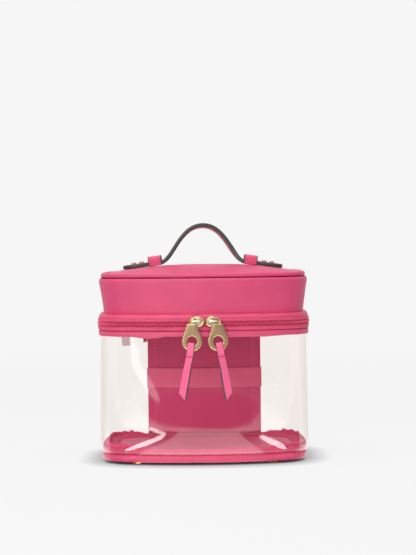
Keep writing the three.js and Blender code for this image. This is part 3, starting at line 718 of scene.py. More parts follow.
def plan_stops(offset, height, pitch, from_x=BAND_START, shift=0.0):
    """Evenly spaced places round the plan, each a matrix whose Y axis points outwards."""
    arcs, corner_x = plan_arcs()
    rear = PLAN_Y + HALF_DEPTH + offset
    runs = [(corner_x - from_x, lambda s: (from_x + s, rear, math.pi / 2))]
    for (cx, cy), radius, start, end, _ in arcs:
        reach = radius + offset
        def place(s, cx=cx, cy=cy, reach=reach, start=start):
            angle = start - s / reach
            return cx + reach * math.cos(angle), PLAN_Y + cy + reach * math.sin(angle), angle
        runs.append(((start - end) * reach, place))
    runs.append((corner_x - from_x, lambda s: (-corner_x + s, rear, math.pi / 2)))
    found = []
    ahead = shift
    for run, place in runs:
        while ahead < run:
            x, y, angle = place(ahead)
            found.append(Matrix.Translation((x, y, height))
                         @ Matrix.Rotation(angle - math.pi / 2, 4, "Z"))
            ahead += pitch
        ahead -= run
    return found


def beads(bm, places, radii, detail=1):
    """Lays a rounded bead at each place, with its three half sizes."""
    for place in places:
        bmesh.ops.create_icosphere(
            bm, subdivisions=detail, radius=1, matrix=place @ Matrix.Diagonal((*radii, 1)))


def row(start, end, pitch):
    """Evenly spaced places on a straight line, each a matrix whose X axis points along it."""
    start, end = Vector(start), Vector(end)
    count = max(1, int((end - start).length / pitch))
    turn = (end - start).to_track_quat("X", "Z").to_matrix().to_4x4()
    return [Matrix.Translation(start.lerp(end, (i + 0.5) / count)) @ turn for i in range(count)]


def along_seam():
    """Half sizes of a stitch whose X axis lies along its seam."""
    return sizes().stitch / 2, THREAD, THREAD


def seam(name, finish, places, body, half=None, at=None):
    """A row of stitches, one at each place."""
    bm = bmesh.new()
    beads(bm, places, half or along_seam())
    go_with(to_object(bm, name, finish, at=at), body)


def rolled_piping(name, finish, node, inner, outer, rounding, waves, size, seed):
    """A thick rolled piping, as high as its node."""
    bm = bmesh.new()
    section = oblong(inner, outer, low(node).z, high(node).z)
    sweep(bm, ring(bm, section, rounding, segments=5), fine=2)
    ripple(bm, waves, size, seed)
    dress(to_object(bm, name, finish), "piping_leather", node)


def hang(bm, top, depth):
    """Lets a band's lower edge hang at two places, lowest left of the middle of the front."""
    for vert in bm.verts:
        if vert.co.y < PLAN_Y:
            x = vert.co.x
            left = smooth_step(-70 * MM, -51 * MM, x) * smooth_step(-33 * MM, -51 * MM, x)
            right = smooth_step(8 * MM, 24 * MM, x) * smooth_step(78 * MM, 56 * MM, x)
            lower = smooth_step(top, top - depth, vert.co.z)
            vert.co.z -= (left + 0.5 * right) * lower * sizes().droop


# Base


def foot_strip():
    """The leather strip that stands behind the foot of the clear wall."""
    bm = bmesh.new()
    points = rising(WALL_FOOT + 0.2 * MM, ((-3.5, 0), (-2.5, 2), (-2.05, 4), (-1.85, 5.6)))
    sweep_sheet(bm, rear_line(bm, points, 6, BAND_START), BAND_START, fine=2)
    strip = thicken(to_object(bm, "foot_strip", "roll_leather"), LEATHER)
    dress(round_edges(strip, SHEET_EDGE), "piping_leather", "lower_seam_strip")


def foot_stitches():
    """The seam that holds the clear wall to the base."""
    places = plan_stops(-1.15 * MM, WALL_FOOT + 2.3 * MM, SEAM_PITCH)
    seam("foot_stitches", "pale_thread", places, "case")


def fullness(place):
    """How full the gathered cloth is: 1 in the corners and 0 in the middle of the front."""
    return smooth_step(48 * MM, 76 * MM, abs(place.x))


def gathered_binding():
    """The gathered cloth round the floor, fullest in the corners."""
    floor = high("floor_lining").z
    bottom = floor + 0.3 * MM
    bm = bmesh.new()
    section = oblong(-7.2 * MM, -4.5 * MM, bottom, floor + 3.2 * MM)
    sweep(bm, ring(bm, section, 1.25 * MM), fine=6)
    for vert in bm.verts:
        full = fullness(vert.co)
        vert.co.z += (vert.co.z - bottom) * (1.2 * full - 0.5 * (1 - full))
    ripple(bm, sizes().pucker * 1.6, 2.2 * MM, 7.0, 0.25)
    ripple(bm, sizes().pucker * 4, 5 * MM, 3.0, 0.4, keep=fullness)
    piece = to_object(bm, "gathered_binding", "gathered_cloth", crease=80)
    dress(piece, "lining", "inner_seam_binding")


def crumpled_edge():
    """The broad crumpled edge of that cloth, which lies on the floor in the corners."""
    bm = bmesh.new()
    points = rising(high("floor_lining").z, (
        (-16, -0.5), (-14.5, 1.2), (-12, 1.6), (-9, 2.6), (-6, 3.4)))
    sweep_sheet(bm, rear_line(bm, points, 16), fine=6)
    for vert in bm.verts:
        vert.co.z -= 4.5 * MM * (1 - fullness(vert.co))
    ripple(bm, 1.1 * MM, 5 * MM, 21.0, 0.6, keep=fullness)
    ripple(bm, 0.7 * MM, 2.4 * MM, 17.0, 0.4, keep=fullness)
    piece = to_object(bm, "crumpled_edge", "gathered_cloth", crease=80)
    go_with(thicken(piece, 0.5 * MM), "case")


def floor_pad():
    """The floor's lining, slightly crowned over its foam."""
    bm = bmesh.new()
    edge = FLOOR_Z - 0.05 * MM
    sweep(bm, line(bm, [rear_point(-4.5 * MM, edge - 0.1 * MM), rear_point(-5 * MM, edge)]), fine=2)
    dome(bm, loop_at(bm, edge), [0.98, 0.94, 0.88, 0.8, 0.65, 0.5, 0.35, 0.2],
         lambda share: FLOOR_Z + 0.7 * MM * (1 - share ** 6))
    ripple(bm, 0.3 * MM, 30 * MM, 5.0)
    dress(thicken(to_object(bm, "floor_pad", "floor_leather"), 0.7 * MM), "lining", "floor_lining")


def lathe(bm, profile, centre, steps=48):
    """Turns a profile of [radius, height] points about an upright line."""
    x, y = centre
    edges = line(bm, [(x + r, y, z) for r, z in profile])
    bmesh.ops.spin(bm, geom=with_ends(edges), cent=(x, y, 0), axis=(0, 0, 1), angle=2 * math.pi,
                   steps=steps, use_duplicate=False, use_merge=True)
    bmesh.ops.remove_doubles(bm, verts=bm.verts, dist=WELD)


def feet():
    """Four domed brass feet, each with its shank."""
    shank, rise = 1 * MM, 2.5 * MM
    dome_shape = ((0, 0), (0.45, 0), (0.72, 0.1), (0.9, 0.32), (0.99, 0.7), (0.99, 0.92), (0.94, 1))
    for name in frame["nodes"]:
        if not name.startswith("foot_") or "washer" in name:
            continue
        bottom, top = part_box(name)
        centre = (bottom + top) / 2
        radius = (top.x - bottom.x) / 2
        profile = [(radius * out, bottom.z + rise * up) for out, up in dome_shape]
        bm = bmesh.new()
        lathe(bm, [*profile, (shank, bottom.z + rise), (shank, top.z), (0, top.z)],
              (centre.x, centre.y))
        dress(to_object(bm, f"domed_{name}", "foot_brass", crease=35), "brass", name)


# Wall and rear panel


def vinyl_wall():
    """The clear wall, widest low down, which waves softly."""
    bm = bmesh.new()
    outer = [
        (-1.8, 0), (-0.4, 3), (0.3, 6.5), (0.7, 12), (0.75, 20), (0.5, 35), (0.2, 55), (-0.1, 75),
        (-0.35, 92), (-0.4, 104), (-0.4, 113.3)]
    points = [(u * MM - VINYL / 2, WALL_FOOT + z * MM) for u, z in smooth_points(outer, 44)]
    sweep_sheet(bm, line(bm, [rear_point(u, z, WALL_START) for u, z in points]), WALL_START, fine=2)

    def middle(place):
        share = (place.z - WALL_FOOT) / (WALL_TOP - WALL_FOOT)
        behind = smooth_step(PLAN_Y + HALF_DEPTH, PLAN_Y + HALF_DEPTH - CORNER_RADIUS, place.y)
        return behind * math.sin(math.pi * min(1, max(0, share)))

    ripple(bm, 0.3 * MM, 60 * MM, 2.0, 0.5, keep=middle)
    dress(thicken(to_object(bm, "vinyl_wall", "vinyl"), VINYL), "clear_vinyl", "clear_wall")


def upright_grid(bm, half_width, bottom, top, depth, columns, rows):
    """A flat sheet that faces the front, centred across the case."""
    place = (Matrix.Translation((0, depth, (bottom + top) / 2)) @ UPRIGHT
             @ Matrix.Diagonal((half_width, (top - bottom) / 2, 1, 1)))
    bmesh.ops.create_grid(bm, x_segments=columns, y_segments=rows, size=1, matrix=place)


def panel_lining():
    """The lining on the inside of the rear panel."""
    bottom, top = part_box("back_panel_lining")
    bm = bmesh.new()
    upright_grid(bm, PANEL_HALF, bottom.z, top.z, (bottom.y + top.y) / 2, 30, 30)
    ripple(bm, 0.25 * MM, 22 * MM, 4.0)
    piece = thicken(to_object(bm, "panel_lining", "lining_leather"), LEATHER)
    dress(round_edges(piece, SHEET_EDGE), "lining", "back_panel_lining")


def panel_stitches():
    """The two stitched lines down the rear panel's lining."""
    bottom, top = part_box("back_panel_lining")
    places = []
    for x in (7.5 * MM - PANEL_HALF, PANEL_HALF - 7.5 * MM):
        places += row((x, bottom.y, bottom.z + 3 * MM), (x, bottom.y, top.z - 3 * MM), SEAM_PITCH)
    seam("panel_stitches", "thread", places, "case")


def slack_strap():
    """The strap across the rear panel, which stands a little away between its ends."""
    bottom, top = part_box("brush_strap")
    bm = bmesh.new()
    upright_grid(bm, top.x, bottom.z, top.z, (bottom.y + top.y) / 2, 40, 8)
    for vert in bm.verts:
        share = 1 - (vert.co.x / top.x) ** 2
        vert.co.y -= 1.6 * MM * share
        vert.co.z -= 0.7 * MM * share
    ripple(bm, 0.5 * MM, 18 * MM, 9.0)
    piece = thicken(to_object(bm, "slack_strap", "brush_strap_leather"), 1 * MM)
    dress(round_edges(piece, 0.35 * MM), "strap_leather", "brush_strap")


def rear_leather():
    """The rear leather, in one strip from the base over the hinge line to the lid."""
    bm = bmesh.new()
    points = [
        *rising(low("back_panel_outer").z, ((0.9, 0), (0.9, 20), (1.2, 60), (0.9, 100))),
        *rising(PARTING_Z, ((1.3, -3.5), (0.8, 0), (1.3, 3), (0.5, 6.6))),
        *rising(BAND_FOOT, ((-2.1, 0.2), (-2.4, 2.4))),
        *rising(high("hinge_flap").z, ((-1.44, -0.3),))]
    half = BAND_START - 0.05 * MM
    edges = rear_line(bm, points, 44, -half)
    carry(bm, with_ends(edges), Vector((half / 20, 0, 0)), 40)
    rear_stitches(points)
    piece = thicken(to_object(bm, "rear_leather", "grained_leather"), LEATHER)
    settle(round_edges(piece, SHEET_EDGE))
    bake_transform(piece)
    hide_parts("back_panel_outer", "hinge_flap")


def rear_stitches(points):
    """The seams down both sides of the rear leather and along its top edge."""
    face = smooth_points(points, 200)
    half = PANEL_HALF - 2.4 * MM

    def outside(height):
        near = min(face, key=lambda point: abs(point[1] - height))
        return rear_point(near[0] + LEATHER / 2 + 0.03 * MM, height)[1]

    spans = {"case": (low("back_panel_outer").z + 3 * MM, PARTING_Z - 7 * MM),
             "lid": (BAND_FOOT + 3 * MM, high("hinge_flap").z - 2.6 * MM)}
    for body, (start, end) in spans.items():
        bm = bmesh.new()
        count = int((end - start) / SEAM_PITCH)
        heights = [start + (end - start) * (i + 0.5) / count for i in range(count)]
        for x in (-half, half):
            beads(bm, [Matrix.Translation((x, outside(z), z)) for z in heights],
                  (THREAD, THREAD, sizes().stitch / 2))
        if body == "lid":
            y = outside(end)
            beads(bm, row((-half, y, end), (half, y, end), SEAM_PITCH), along_seam())
        go_with(to_object(bm, f"rear_stitches_{body}", "thread"), body)


def sewn_tag():
    """A blank cloth tag that curls a little at its end."""
    bottom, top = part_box("care_tag")
    centre = (bottom + top) / 2
    corner_x = plan_arcs()[1]
    out = Vector((centre.x + corner_x, centre.y - PLAN_Y - HALF_DEPTH + CORNER_RADIUS, 0))
    bm = bmesh.new()
    upright_grid(bm, 4.6 * MM, bottom.z, top.z, 0, 6, 14)
    for vert in bm.verts:
        share = (top.z - vert.co.z) / (top.z - bottom.z)
        vert.co.y -= 1.6 * MM * share ** 3
    spot = (Matrix.Translation((centre.x, centre.y, 0))
            @ Matrix.Rotation(math.atan2(-out.x, out.y), 4, "Z"))
    piece = to_object(bm, "sewn_tag", "tag_weave", at=spot)
    dress(thicken(piece, 0.4 * MM), "tag_cloth", "care_tag")


def tape_tails():
    """The ends of the zip tape, tucked down inside the rear corners."""
    for word in SIDES:
        bottom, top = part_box(f"zip_tape_end_{word}")
        centre = (bottom + top) / 2
        bm = bmesh.new()
        upright_grid(bm, (top.x - bottom.x) / 2, bottom.z, top.z, centre.y, 5, 12)
        for vert in bm.verts:
            share = (top.z - vert.co.z) / (top.z - bottom.z)
            vert.co.x += centre.x
            vert.co.y -= 1.2 * MM * share ** 2
            vert.co.z += 0.25 * (vert.co.x - centre.x) * share
        piece = thicken(to_object(bm, f"tape_tail_{word}", "woven_tape"), 1 * MM)
        dress(piece, "zip_tape", f"zip_tape_end_{word}")


# Zip


def zip_binding():
    """The leather that wraps the top of the clear wall and hangs a little at the left."""
    bm = bmesh.new()
    bottom, top = low("lower_zip_binding").z, high("lower_zip_binding").z
    slot, outer, inner = 0.35 * MM, 1.45 * MM, -1.1 * MM
    corners = [
        (slot, bottom), (outer, bottom), (outer, top), (inner - LEATHER, top),
        (inner - LEATHER, bottom), (inner, bottom), (inner, top - LEATHER), (slot, top - LEATHER)]
    sweep(bm, ring(bm, corners, 1.05 * MM, BAND_START, 5, (1, 2, 3)), BAND_START, fine=3)
    hang(bm, top, top - bottom)
    ripple(bm, 0.4 * MM, 9 * MM, 6.0, keep=lambda place: smooth_step(top, bottom, place.z))
    dress(to_object(bm, "zip_binding", "roll_leather"), "piping_leather", "lower_zip_binding")


def soft_band(name, finish, slot, node, corners, rounding, rounded, waves, size, seed):
    """A soft band round the zip line."""
    bm = bmesh.new()
    sweep(bm, ring(bm, corners, rounding, BAND_START, 4, rounded), BAND_START, fine=3)
    ripple(bm, waves * MM, size * MM, seed)
    dress(to_object(bm, name, finish), slot, node)


def zip_bands():
    """The rolled tapes each side of the coils, the welt over them and the web behind them, whose
    dark colour is painted shade in the grooves.
    """
    lower_low, lower_top = low("lower_zip_tape").z, high("lower_zip_tape").z
    welt_low, welt_top = low("upper_zip_welt").z, high("upper_zip_welt").z
    inner, web, near = 0.1 * MM, 0.5 * MM, 0.3 * MM
    section = oblong(inner, 1.9 * MM, lower_low + 0.45 * MM, lower_top - 1 * MM)
    soft_band("lower_tape", "woven_tape", "zip_tape", "lower_zip_tape", section,
              1.35 * MM, (1, 2), 0.25, 11, 1.0)
    section = oblong(inner, 1.7 * MM, high("upper_zip_tape").z - 2 * MM, welt_low + 0.1 * MM)
    soft_band("upper_tape", "woven_tape", "zip_tape", "upper_zip_tape", section,
              0.8 * MM, (1, 2), 0.1, 11, 2.0)
    shelf, lip = -5.8 * MM, welt_top - 1 * MM
    section = [
        (near, welt_low + 0.1 * MM), *rising(welt_low, ((1.2, 0.1), (0.9, 2.4))),
        (-0.7 * MM, welt_top + 0.2 * MM), (shelf, welt_top + 0.1 * MM), (shelf, lip), (near, lip)]
    soft_band("lid_welt", "roll_leather", "piping_leather", "upper_zip_welt", section,
              1.1 * MM, (1, 2, 3), 0.3, 13, 4.0)
    # The webs are dark sheets that paint the shade in the grooves between the coils and the tapes.
    for word, body, bottom, top in (
            ("lower", "case", lower_low - 0.6 * MM, PARTING_Z - 0.06 * MM),
            ("upper", "lid", PARTING_Z + 0.06 * MM, welt_low + 0.8 * MM)):
        bm = bmesh.new()
        sweep_sheet(bm, rear_line(bm, [(web, bottom), (web, top)], 3, BAND_START),
                    BAND_START, fine=2)
        go_with(thicken(to_object(bm, f"zip_web_{word}", "zip_web"), 0.5 * MM), body)


def zip_coils():
    """Coils: heads that mesh over the parting line, tails on the tapes, and bars between."""
    pitch = sizes().coil_pitch
    head = PARTING_Z - 0.55 * MM
    for word, way, shift, tail in (("lower", -1, 0.0, PARTING_Z - 3.4 * MM),
                                   ("upper", 1, 0.5 * pitch, PARTING_Z + 2.9 * MM)):
        bm = bmesh.new()
        for out, height, half in ((1.8, head + way * 0.3 * MM, (0.52, 0.75, 0.72)),
                                  (1.6, tail, (0.5, 0.6, 0.5)),
                                  (1.1, (tail + head) / 2, (0.38, 0.5, 1.7))):
            beads(bm, plan_stops(out * MM, height, pitch, shift=shift), [h * MM for h in half])
        dress(to_object(bm, f"{word}_coil", "coil", crease=60), "zip_coil", f"{word}_zip_chain")


# Lid


def lid_wall():
    """The padded leather side of the lid, with a rounded shoulder."""
    bm = bmesh.new()
    points = rising(BAND_FOOT, (
        (-4.9, -0.25), (-3.55, 9), (-2, 19), (-0.75, 27), (-0.3, 30), (-0.5, 32), (-1.5, 33.2)))
    sweep(bm, rear_line(bm, points, 30), fine=3)
    ripple(bm, 0.8 * MM, 38 * MM, 11.0,
           keep=lambda place: math.sin(math.pi * min(1, (place.z - BAND_FOOT) / (34 * MM))))
    piece = thicken(to_object(bm, "lid_wall", "grained_leather"), 1.8 * MM)
    dress(round_edges(piece, 0.5 * MM), "pink_leather", "lid_band")


def crown_height(share):
    """Height of the crowned lid top, where 1 is its rim and 0 its middle."""
    return CROWN_PEAK - CROWN_RISE * share ** CROWN_POWER


def strap_rest():
    """Height at which the handle's ends lie on the lid's top."""
    return crown_height(REST_X / (HALF_WIDTH - CROWN_INSET)) + REST_GAP


def lid_top():
    """The crowned leather top."""
    bm = bmesh.new()
    half = CROWN_THICKNESS / 2
    inset = -CROWN_INSET - half
    edge = crown_height(1) - half
    sweep(bm, line(bm, [rear_point(inset + 0.3 * MM, edge - 0.3 * MM), rear_point(inset, edge)]),
          fine=2)
    dome(bm, loop_at(bm, edge),
         [0.985, 0.96, 0.93, 0.89, 0.84, 0.78, 0.7, 0.6, 0.5, 0.4, 0.3, 0.2, 0.1],
         lambda share: crown_height(share) - half)
    ripple(bm, 0.4 * MM, 32 * MM, 8.0)
    piece = thicken(to_object(bm, "lid_top", "grained_leather"), CROWN_THICKNESS)
    dress(round_edges(piece, 0.5 * MM), "pink_leather", "lid_top_panel")


def lid_inside():
    """The lining inside the lid."""
    bm = bmesh.new()
    foot, ceiling = low("lid_lining").z, high("lid_lining").z - 0.4 * MM
    points = [*rising(foot, ((-6.5, 0.2), (-4.9, 17))),
              *rising(ceiling, ((-3.5, -2), (-3.9, -0.5), (-5.2, 0)))]
    sweep(bm, rear_line(bm, points, 14), fine=2)
    dome(bm, loop_at(bm, ceiling), [0.9, 0.75, 0.6, 0.45, 0.3, 0.15], lambda share: ceiling)
    dress(thicken(to_object(bm, "lid_inside", "lining_leather"), 0.8 * MM), "lining", "lid_lining")


# Handle


def on_slope(side):
    """Where the handle's ends lie: level drawings with their underside at zero go on it."""
    half_turn = 0 if side > 0 else math.pi
    return (Matrix.Translation((0, PLAN_Y, 0)) @ Matrix.Rotation(half_turn, 4, "Z")
            @ Matrix.Translation((REST_X, 0, strap_rest())) @ Matrix.Rotation(SLOPE, 4, "Y")
            @ Matrix.Translation((-REST_X, 0, 0)))


def strap_end(word, side):
    """One end of the handle strap, rounded at its tip, with stitches along both edges."""
    bm = bmesh.new()
    half = STRAP_WIDTH / 2
    shoulder = END_OUTER - 7 * MM
    verts = [bm.verts.new((x, y, STRAP_THICKNESS / 2)) for x, y in [
        (END_INNER, -half), (shoulder, -half), (END_OUTER, -half * 0.5),
        (END_OUTER, half * 0.5), (shoulder, half), (END_INNER, half)]]
    bm.faces.new(verts)
    round_corners(bm, verts[1:5], 2.6 * MM, 5)
    piece = to_object(bm, f"strap_end_{word}", "strap_faces", "edge_paint", at=on_slope(side))
    piece = round_edges(thicken(piece, STRAP_THICKNESS, 1), 1.35 * MM, 5, finish=1)
    dress(piece, "handle_leather", f"handle_end_{word}")
    top = STRAP_THICKNESS
    places = []
    for y in (2 * MM - half, half - 2 * MM):
        places += row((END_INNER + 9 * MM, y, top), (shoulder, y, top), 3 * MM)
    seam(f"strap_stitches_{word}", "thread", places, f"handle_end_{word}",
         at=on_slope(side))


def keeper_loop(word, side):
    """The leather loop that a strap end runs through."""
    bm = bmesh.new()
    wide = STRAP_WIDTH / 2 + KEEPER_GAP + KEEPER_WALL / 2
    head = KEEPER_FOOT + KEEPER_HEIGHT - KEEPER_WALL / 2
    verts = [bm.verts.new((KEEPER_INNER, y, z)) for y, z in [
        (-wide, KEEPER_FOOT), (-wide, head), (wide, head), (wide, KEEPER_FOOT)]]
    bm.faces.new(verts)
    round_corners(bm, verts[1:3], 2.6 * MM, 5)
    bmesh.ops.delete(bm, geom=bm.faces[:], context="FACES_ONLY")
    floor = [e for e in bm.edges if all(abs(v.co.z - KEEPER_FOOT) < WELD for v in e.verts)]
    bmesh.ops.delete(bm, geom=floor, context="EDGES")
    carry(bm, [*bm.verts, *bm.edges], Vector((KEEPER_WIDTH / 6, 0, 0)), 6)
    painted = KEEPER_WIDTH / 2 - 0.75 * MM
    for vert in bm.verts:
        if abs(abs(vert.co.x - REST_X) - KEEPER_WIDTH / 3) < WELD:
            vert.co.x = REST_X + math.copysign(painted, vert.co.x - REST_X)
    for face in bm.faces:
        face.material_index = int(abs(face.calc_center_median().x - REST_X) > painted)
    piece = to_object(bm, f"keeper_loop_{word}", "grained_leather", "edge_paint", at=on_slope(side))
    piece = round_edges(thicken(piece, KEEPER_WALL, 1), 0.5 * MM, finish=1)
    dress(piece, "handle_leather", f"keeper_{word}")


def keeper_stitches(word, side):
    """The stitches up the front and rear of a keeper and over its top, near both of its sides."""
    face = STRAP_WIDTH / 2 + KEEPER_GAP + KEEPER_WALL + 0.02 * MM
    top = KEEPER_HEIGHT + KEEPER_FOOT + 0.02 * MM
    places = []
    for x in (KEEPER_INNER + 1.8 * MM, KEEPER_INNER + KEEPER_WIDTH - 1.8 * MM):
        for y in (-face, face):
            places += row((x, y, 1 * MM), (x, y, top - 2 * MM), 2.3 * MM)
        places += row((x, -face + 2.4 * MM, top), (x, face - 2.4 * MM, top), 2.6 * MM)
    seam(f"keeper_stitches_{word}", "dark_thread", places, "lid",
         (sizes().stitch * 0.36, 0.28 * MM, 0.28 * MM), on_slope(side))


def domed_studs(word, side):
    """The two domed studs that stop a strap end at its keeper."""
    shank = [(0, 0), (0.9 * MM, 0)]
    head = rising(STRAP_THICKNESS + 0.2 * MM, (
        (0.9, 0), (2.35, 0), (2.5, 0.25), (2.35, 0.8), (1.8, 1.2), (1, 1.45), (0, 1.5)))
    for x, place in zip(STUD_PLACES, ("inner", "outer")):
        bm = bmesh.new()
        lathe(bm, shank + head, (x, 0), 32)
        piece = to_object(bm, f"domed_stud_{word}_{place}", "stud_gold", crease=50,
                          at=on_slope(side))
        dress(piece, "pale_gold", f"stud_{word}_{place}")


def arch_line():
    """The centre line of the handle's arch, as [across, height] points."""
    rest = strap_rest()
    reach = END_INNER - 1.5 * MM
    crown = high("handle_arch").z - STRAP_THICKNESS / 2
    a, b, c, d = (Vector(p) for p in (
        (reach, rest + 2.4 * MM), (reach * 0.69, rest + 1.8 * MM),
        (reach * 0.56, crown), (0, crown)))
    right = []
    for i in range(ARCH_STEPS + 1):
        t = i / ARCH_STEPS
        s = 1 - t
        right.append(a * s ** 3 + 3 * b * t * s ** 2 + 3 * c * t * t * s + d * t ** 3)
    return [*right, *[Vector((-p.x, p.y)) for p in reversed(right[:-1])]]


def handle_strap():
    """The arch of the handle: two leather faces with painted edges."""
    rest = strap_rest()
    bm = bmesh.new()
    edges = line(bm, [(p.x, PLAN_Y - STRAP_WIDTH / 2, p.y) for p in arch_line()])
    carry(bm, with_ends(edges), Vector((0, STRAP_WIDTH / 8, 0)), 8)
    lean, turn = math.tan(math.radians(3.5)), math.tan(math.radians(2.5))
    for vert in bm.verts:
        x, y, z = vert.co.x, vert.co.y - PLAN_Y, vert.co.z - rest
        free = smooth_step(1 * MM, 15 * MM, z)
        vert.co += free * Vector((-y * turn, z * lean + x * turn, -y * lean))
    piece = to_object(bm, "handle_strap", "strap_faces", "edge_paint", crease=60)
    settle(round_edges(thicken(piece, STRAP_THICKNESS, 1), 0.7 * MM, finish=1))
    dress(piece, "handle_leather", "handle_arch")
    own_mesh(piece)


# Sliders, pulls and tabs


def on_bow(side):
    """Where a slider is on the front: its drawing has X across, Y inwards and Z up."""
    return (Matrix.Translation((0, PLAN_Y + BOW_RADIUS - HALF_DEPTH, PARTING_Z))
            @ Matrix.Rotation((side * SLIDER_REACH + SLIDER_SHIFT) / BOW_RADIUS, 4, "Z")
            @ Matrix.Translation((0, -BOW_RADIUS, 0)) @ Matrix.Diagonal((side, 1, 1, 1)))


def oval_plate(bm, outer, thickness, edge, height, rise):
    """An oval plate that faces the front, with a rounded face."""
    place = (Matrix.Translation((-PLATE_SHIFT, -outer, rise)) @ UPRIGHT
             @ Matrix.Diagonal((PLATE_LENGTH / 2, height / 2, 1, 1)))
    made = bmesh.ops.create_circle(bm, cap_ends=True, segments=48, radius=1, matrix=place)
    face = made["verts"][0].link_faces[0]
    back = bmesh.ops.extrude_face_region(bm, geom=[face])["geom"]
    bmesh.ops.translate(bm, vec=(0, thickness, 0), verts=verts_of(back))
    rim = [e for e in bm.edges if all(abs(v.co.y + outer) < WELD for v in e.verts)]
    bmesh.ops.bevel(bm, geom=rim, offset=edge, offset_type="OFFSET", affect="EDGES", segments=4,
                    profile=0.5, material=-1, clamp_overlap=True)


def box(bm, lowest, highest):
    """A box between two corners."""
    lowest, highest = Vector(lowest), Vector(highest)
    size = highest - lowest
    bmesh.ops.create_cube(bm, size=1, matrix=Matrix.Translation((lowest + highest) / 2)
                          @ Matrix.Diagonal((*size, 1)))


def slider_body(word, side):
    """A slider's two oval plates, with the web between them."""
    bm = bmesh.new()
    oval_plate(bm, PLATE_OUTER, PLATE_OUTER - PLATE_INNER, 1.1 * MM, PLATE_HEIGHT, PLATE_RISE)
    oval_plate(bm, -0.4 * MM, 1.1 * MM, 0.3 * MM, BACK_PLATE_HEIGHT, 0)
    box(bm, (-4 * MM, -PLATE_INNER - 0.15 * MM, -0.2 * MM), (4 * MM, 0.55 * MM, 0.2 * MM))
    piece = to_object(bm, f"slider_body_{word}", "polished_gold", crease=35, at=on_bow(side))
    dress(piece, "pale_gold", f"slider_{word}")


def slider_frame(word, side):
    """The slider's raised frame, with a warm recess behind the bar."""
    bm = bmesh.new()
    steps = 48
    half_long, half_high = 7 * MM, 3.1 * MM
    loops = []
    for inset, proud in ((0, -0.5), (0, 0.5), (0.3, 0.85), (0.75, 0.8), (0.95, 0.4), (0.95, -0.25)):
        made = bmesh.ops.create_circle(bm, segments=steps, radius=1)["verts"]
        reach = half_high - inset * MM
        for i, vert in enumerate(made):
            angle = 2 * math.pi * i / steps
            middle = math.copysign(half_long - half_high, math.cos(angle))
            vert.co = (middle + reach * math.cos(angle), -PLATE_OUTER - proud * MM,
                       PIN_RISE + reach * math.sin(angle))
        loops.append(set(made))
    for pair in zip(loops, loops[1:]):
        bmesh.ops.bridge_loops(
            bm, edges=[e for e in bm.edges if any(set(e.verts) <= loop for loop in pair)])
    for loop, finish in ((loops[-1], 1), (loops[0], 0)):
        rim = [e for e in bm.edges if set(e.verts) <= loop]
        cap = bmesh.ops.contextual_create(bm, geom=rim)["faces"][0]
        cap.material_index = finish
    piece = to_object(bm, f"slider_frame_{word}", "polished_gold", "warm_gold", at=on_bow(side))
    go_with(piece, f"slider_{word}")


def slider_bar(word, side):
    """The bar that the pull curls round, with its two legs."""
    bm = bmesh.new()
    bmesh.ops.create_uvsphere(
        bm, u_segments=24, v_segments=12, radius=PIN_RADIUS,
        matrix=Matrix.Translation((0, -PIN_OUT, PIN_RISE)) @ Matrix.Rotation(math.pi / 2, 4, "Y"))
    reach = PIN_HALF - PIN_RADIUS
    for vert in bm.verts:
        vert.co.x += math.copysign(reach, vert.co.x) if abs(vert.co.x) > WELD else 0
    bar = to_object(bm, f"slider_bar_{word}", "silver_bar", crease=35, at=on_bow(side))
    go_with(bar, f"slider_{word}")
    bm = bmesh.new()
    for near, far in ((-PIN_HALF, 1.2 * MM - PIN_HALF), (PIN_HALF - 1.2 * MM, PIN_HALF)):
        box(bm, (near, -PIN_OUT, PIN_RISE - 0.8 * MM),
            (far, -PLATE_OUTER + 0.15 * MM, PIN_RISE + 0.8 * MM))
    legs = to_object(bm, f"slider_legs_{word}", "warm_gold", crease=35, at=on_bow(side))
    go_with(round_edges(legs, 0.3 * MM), f"slider_{word}")


def ring_pull(word, side):
    """A pull: a drop-shaped plate with a round hole."""
    bm = bmesh.new()
    steps = 72
    spot = Matrix.Translation((PULL_OFFSET, -PIN_OUT, PULL_LEVEL)) @ UPRIGHT
    bmesh.ops.create_circle(bm, segments=steps, radius=PULL_HOLE, matrix=spot)
    outer = bmesh.ops.create_circle(bm, segments=steps, radius=PULL_RADIUS, matrix=spot)["verts"]
    neck = PULL_NECK / 2
    touch = (math.atan2(PULL_LENGTH, neck)
             - math.acos(PULL_RADIUS / math.hypot(neck, PULL_LENGTH)))
    for vert in outer:
        x, z = vert.co.x - PULL_OFFSET, vert.co.z - PULL_LEVEL
        angle = math.atan2(z, abs(x))
        if angle > touch:
            reach = min(PULL_LENGTH / math.sin(angle), PULL_RADIUS / math.cos(angle - touch))
            vert.co.x = PULL_OFFSET + math.copysign(reach * math.cos(angle), x)
            vert.co.z = PULL_LEVEL + reach * math.sin(angle)
    bmesh.ops.bridge_loops(bm, edges=bm.edges[:])
    piece = to_object(bm, f"ring_pull_{word}", "brushed_gold", "polished_gold", crease=30,
                      at=on_bow(side))
    piece = round_edges(thicken(piece, PULL_THICKNESS), 0.6 * MM, 4, finish=1)
    dress(piece, "pale_gold", f"pull_{word}")


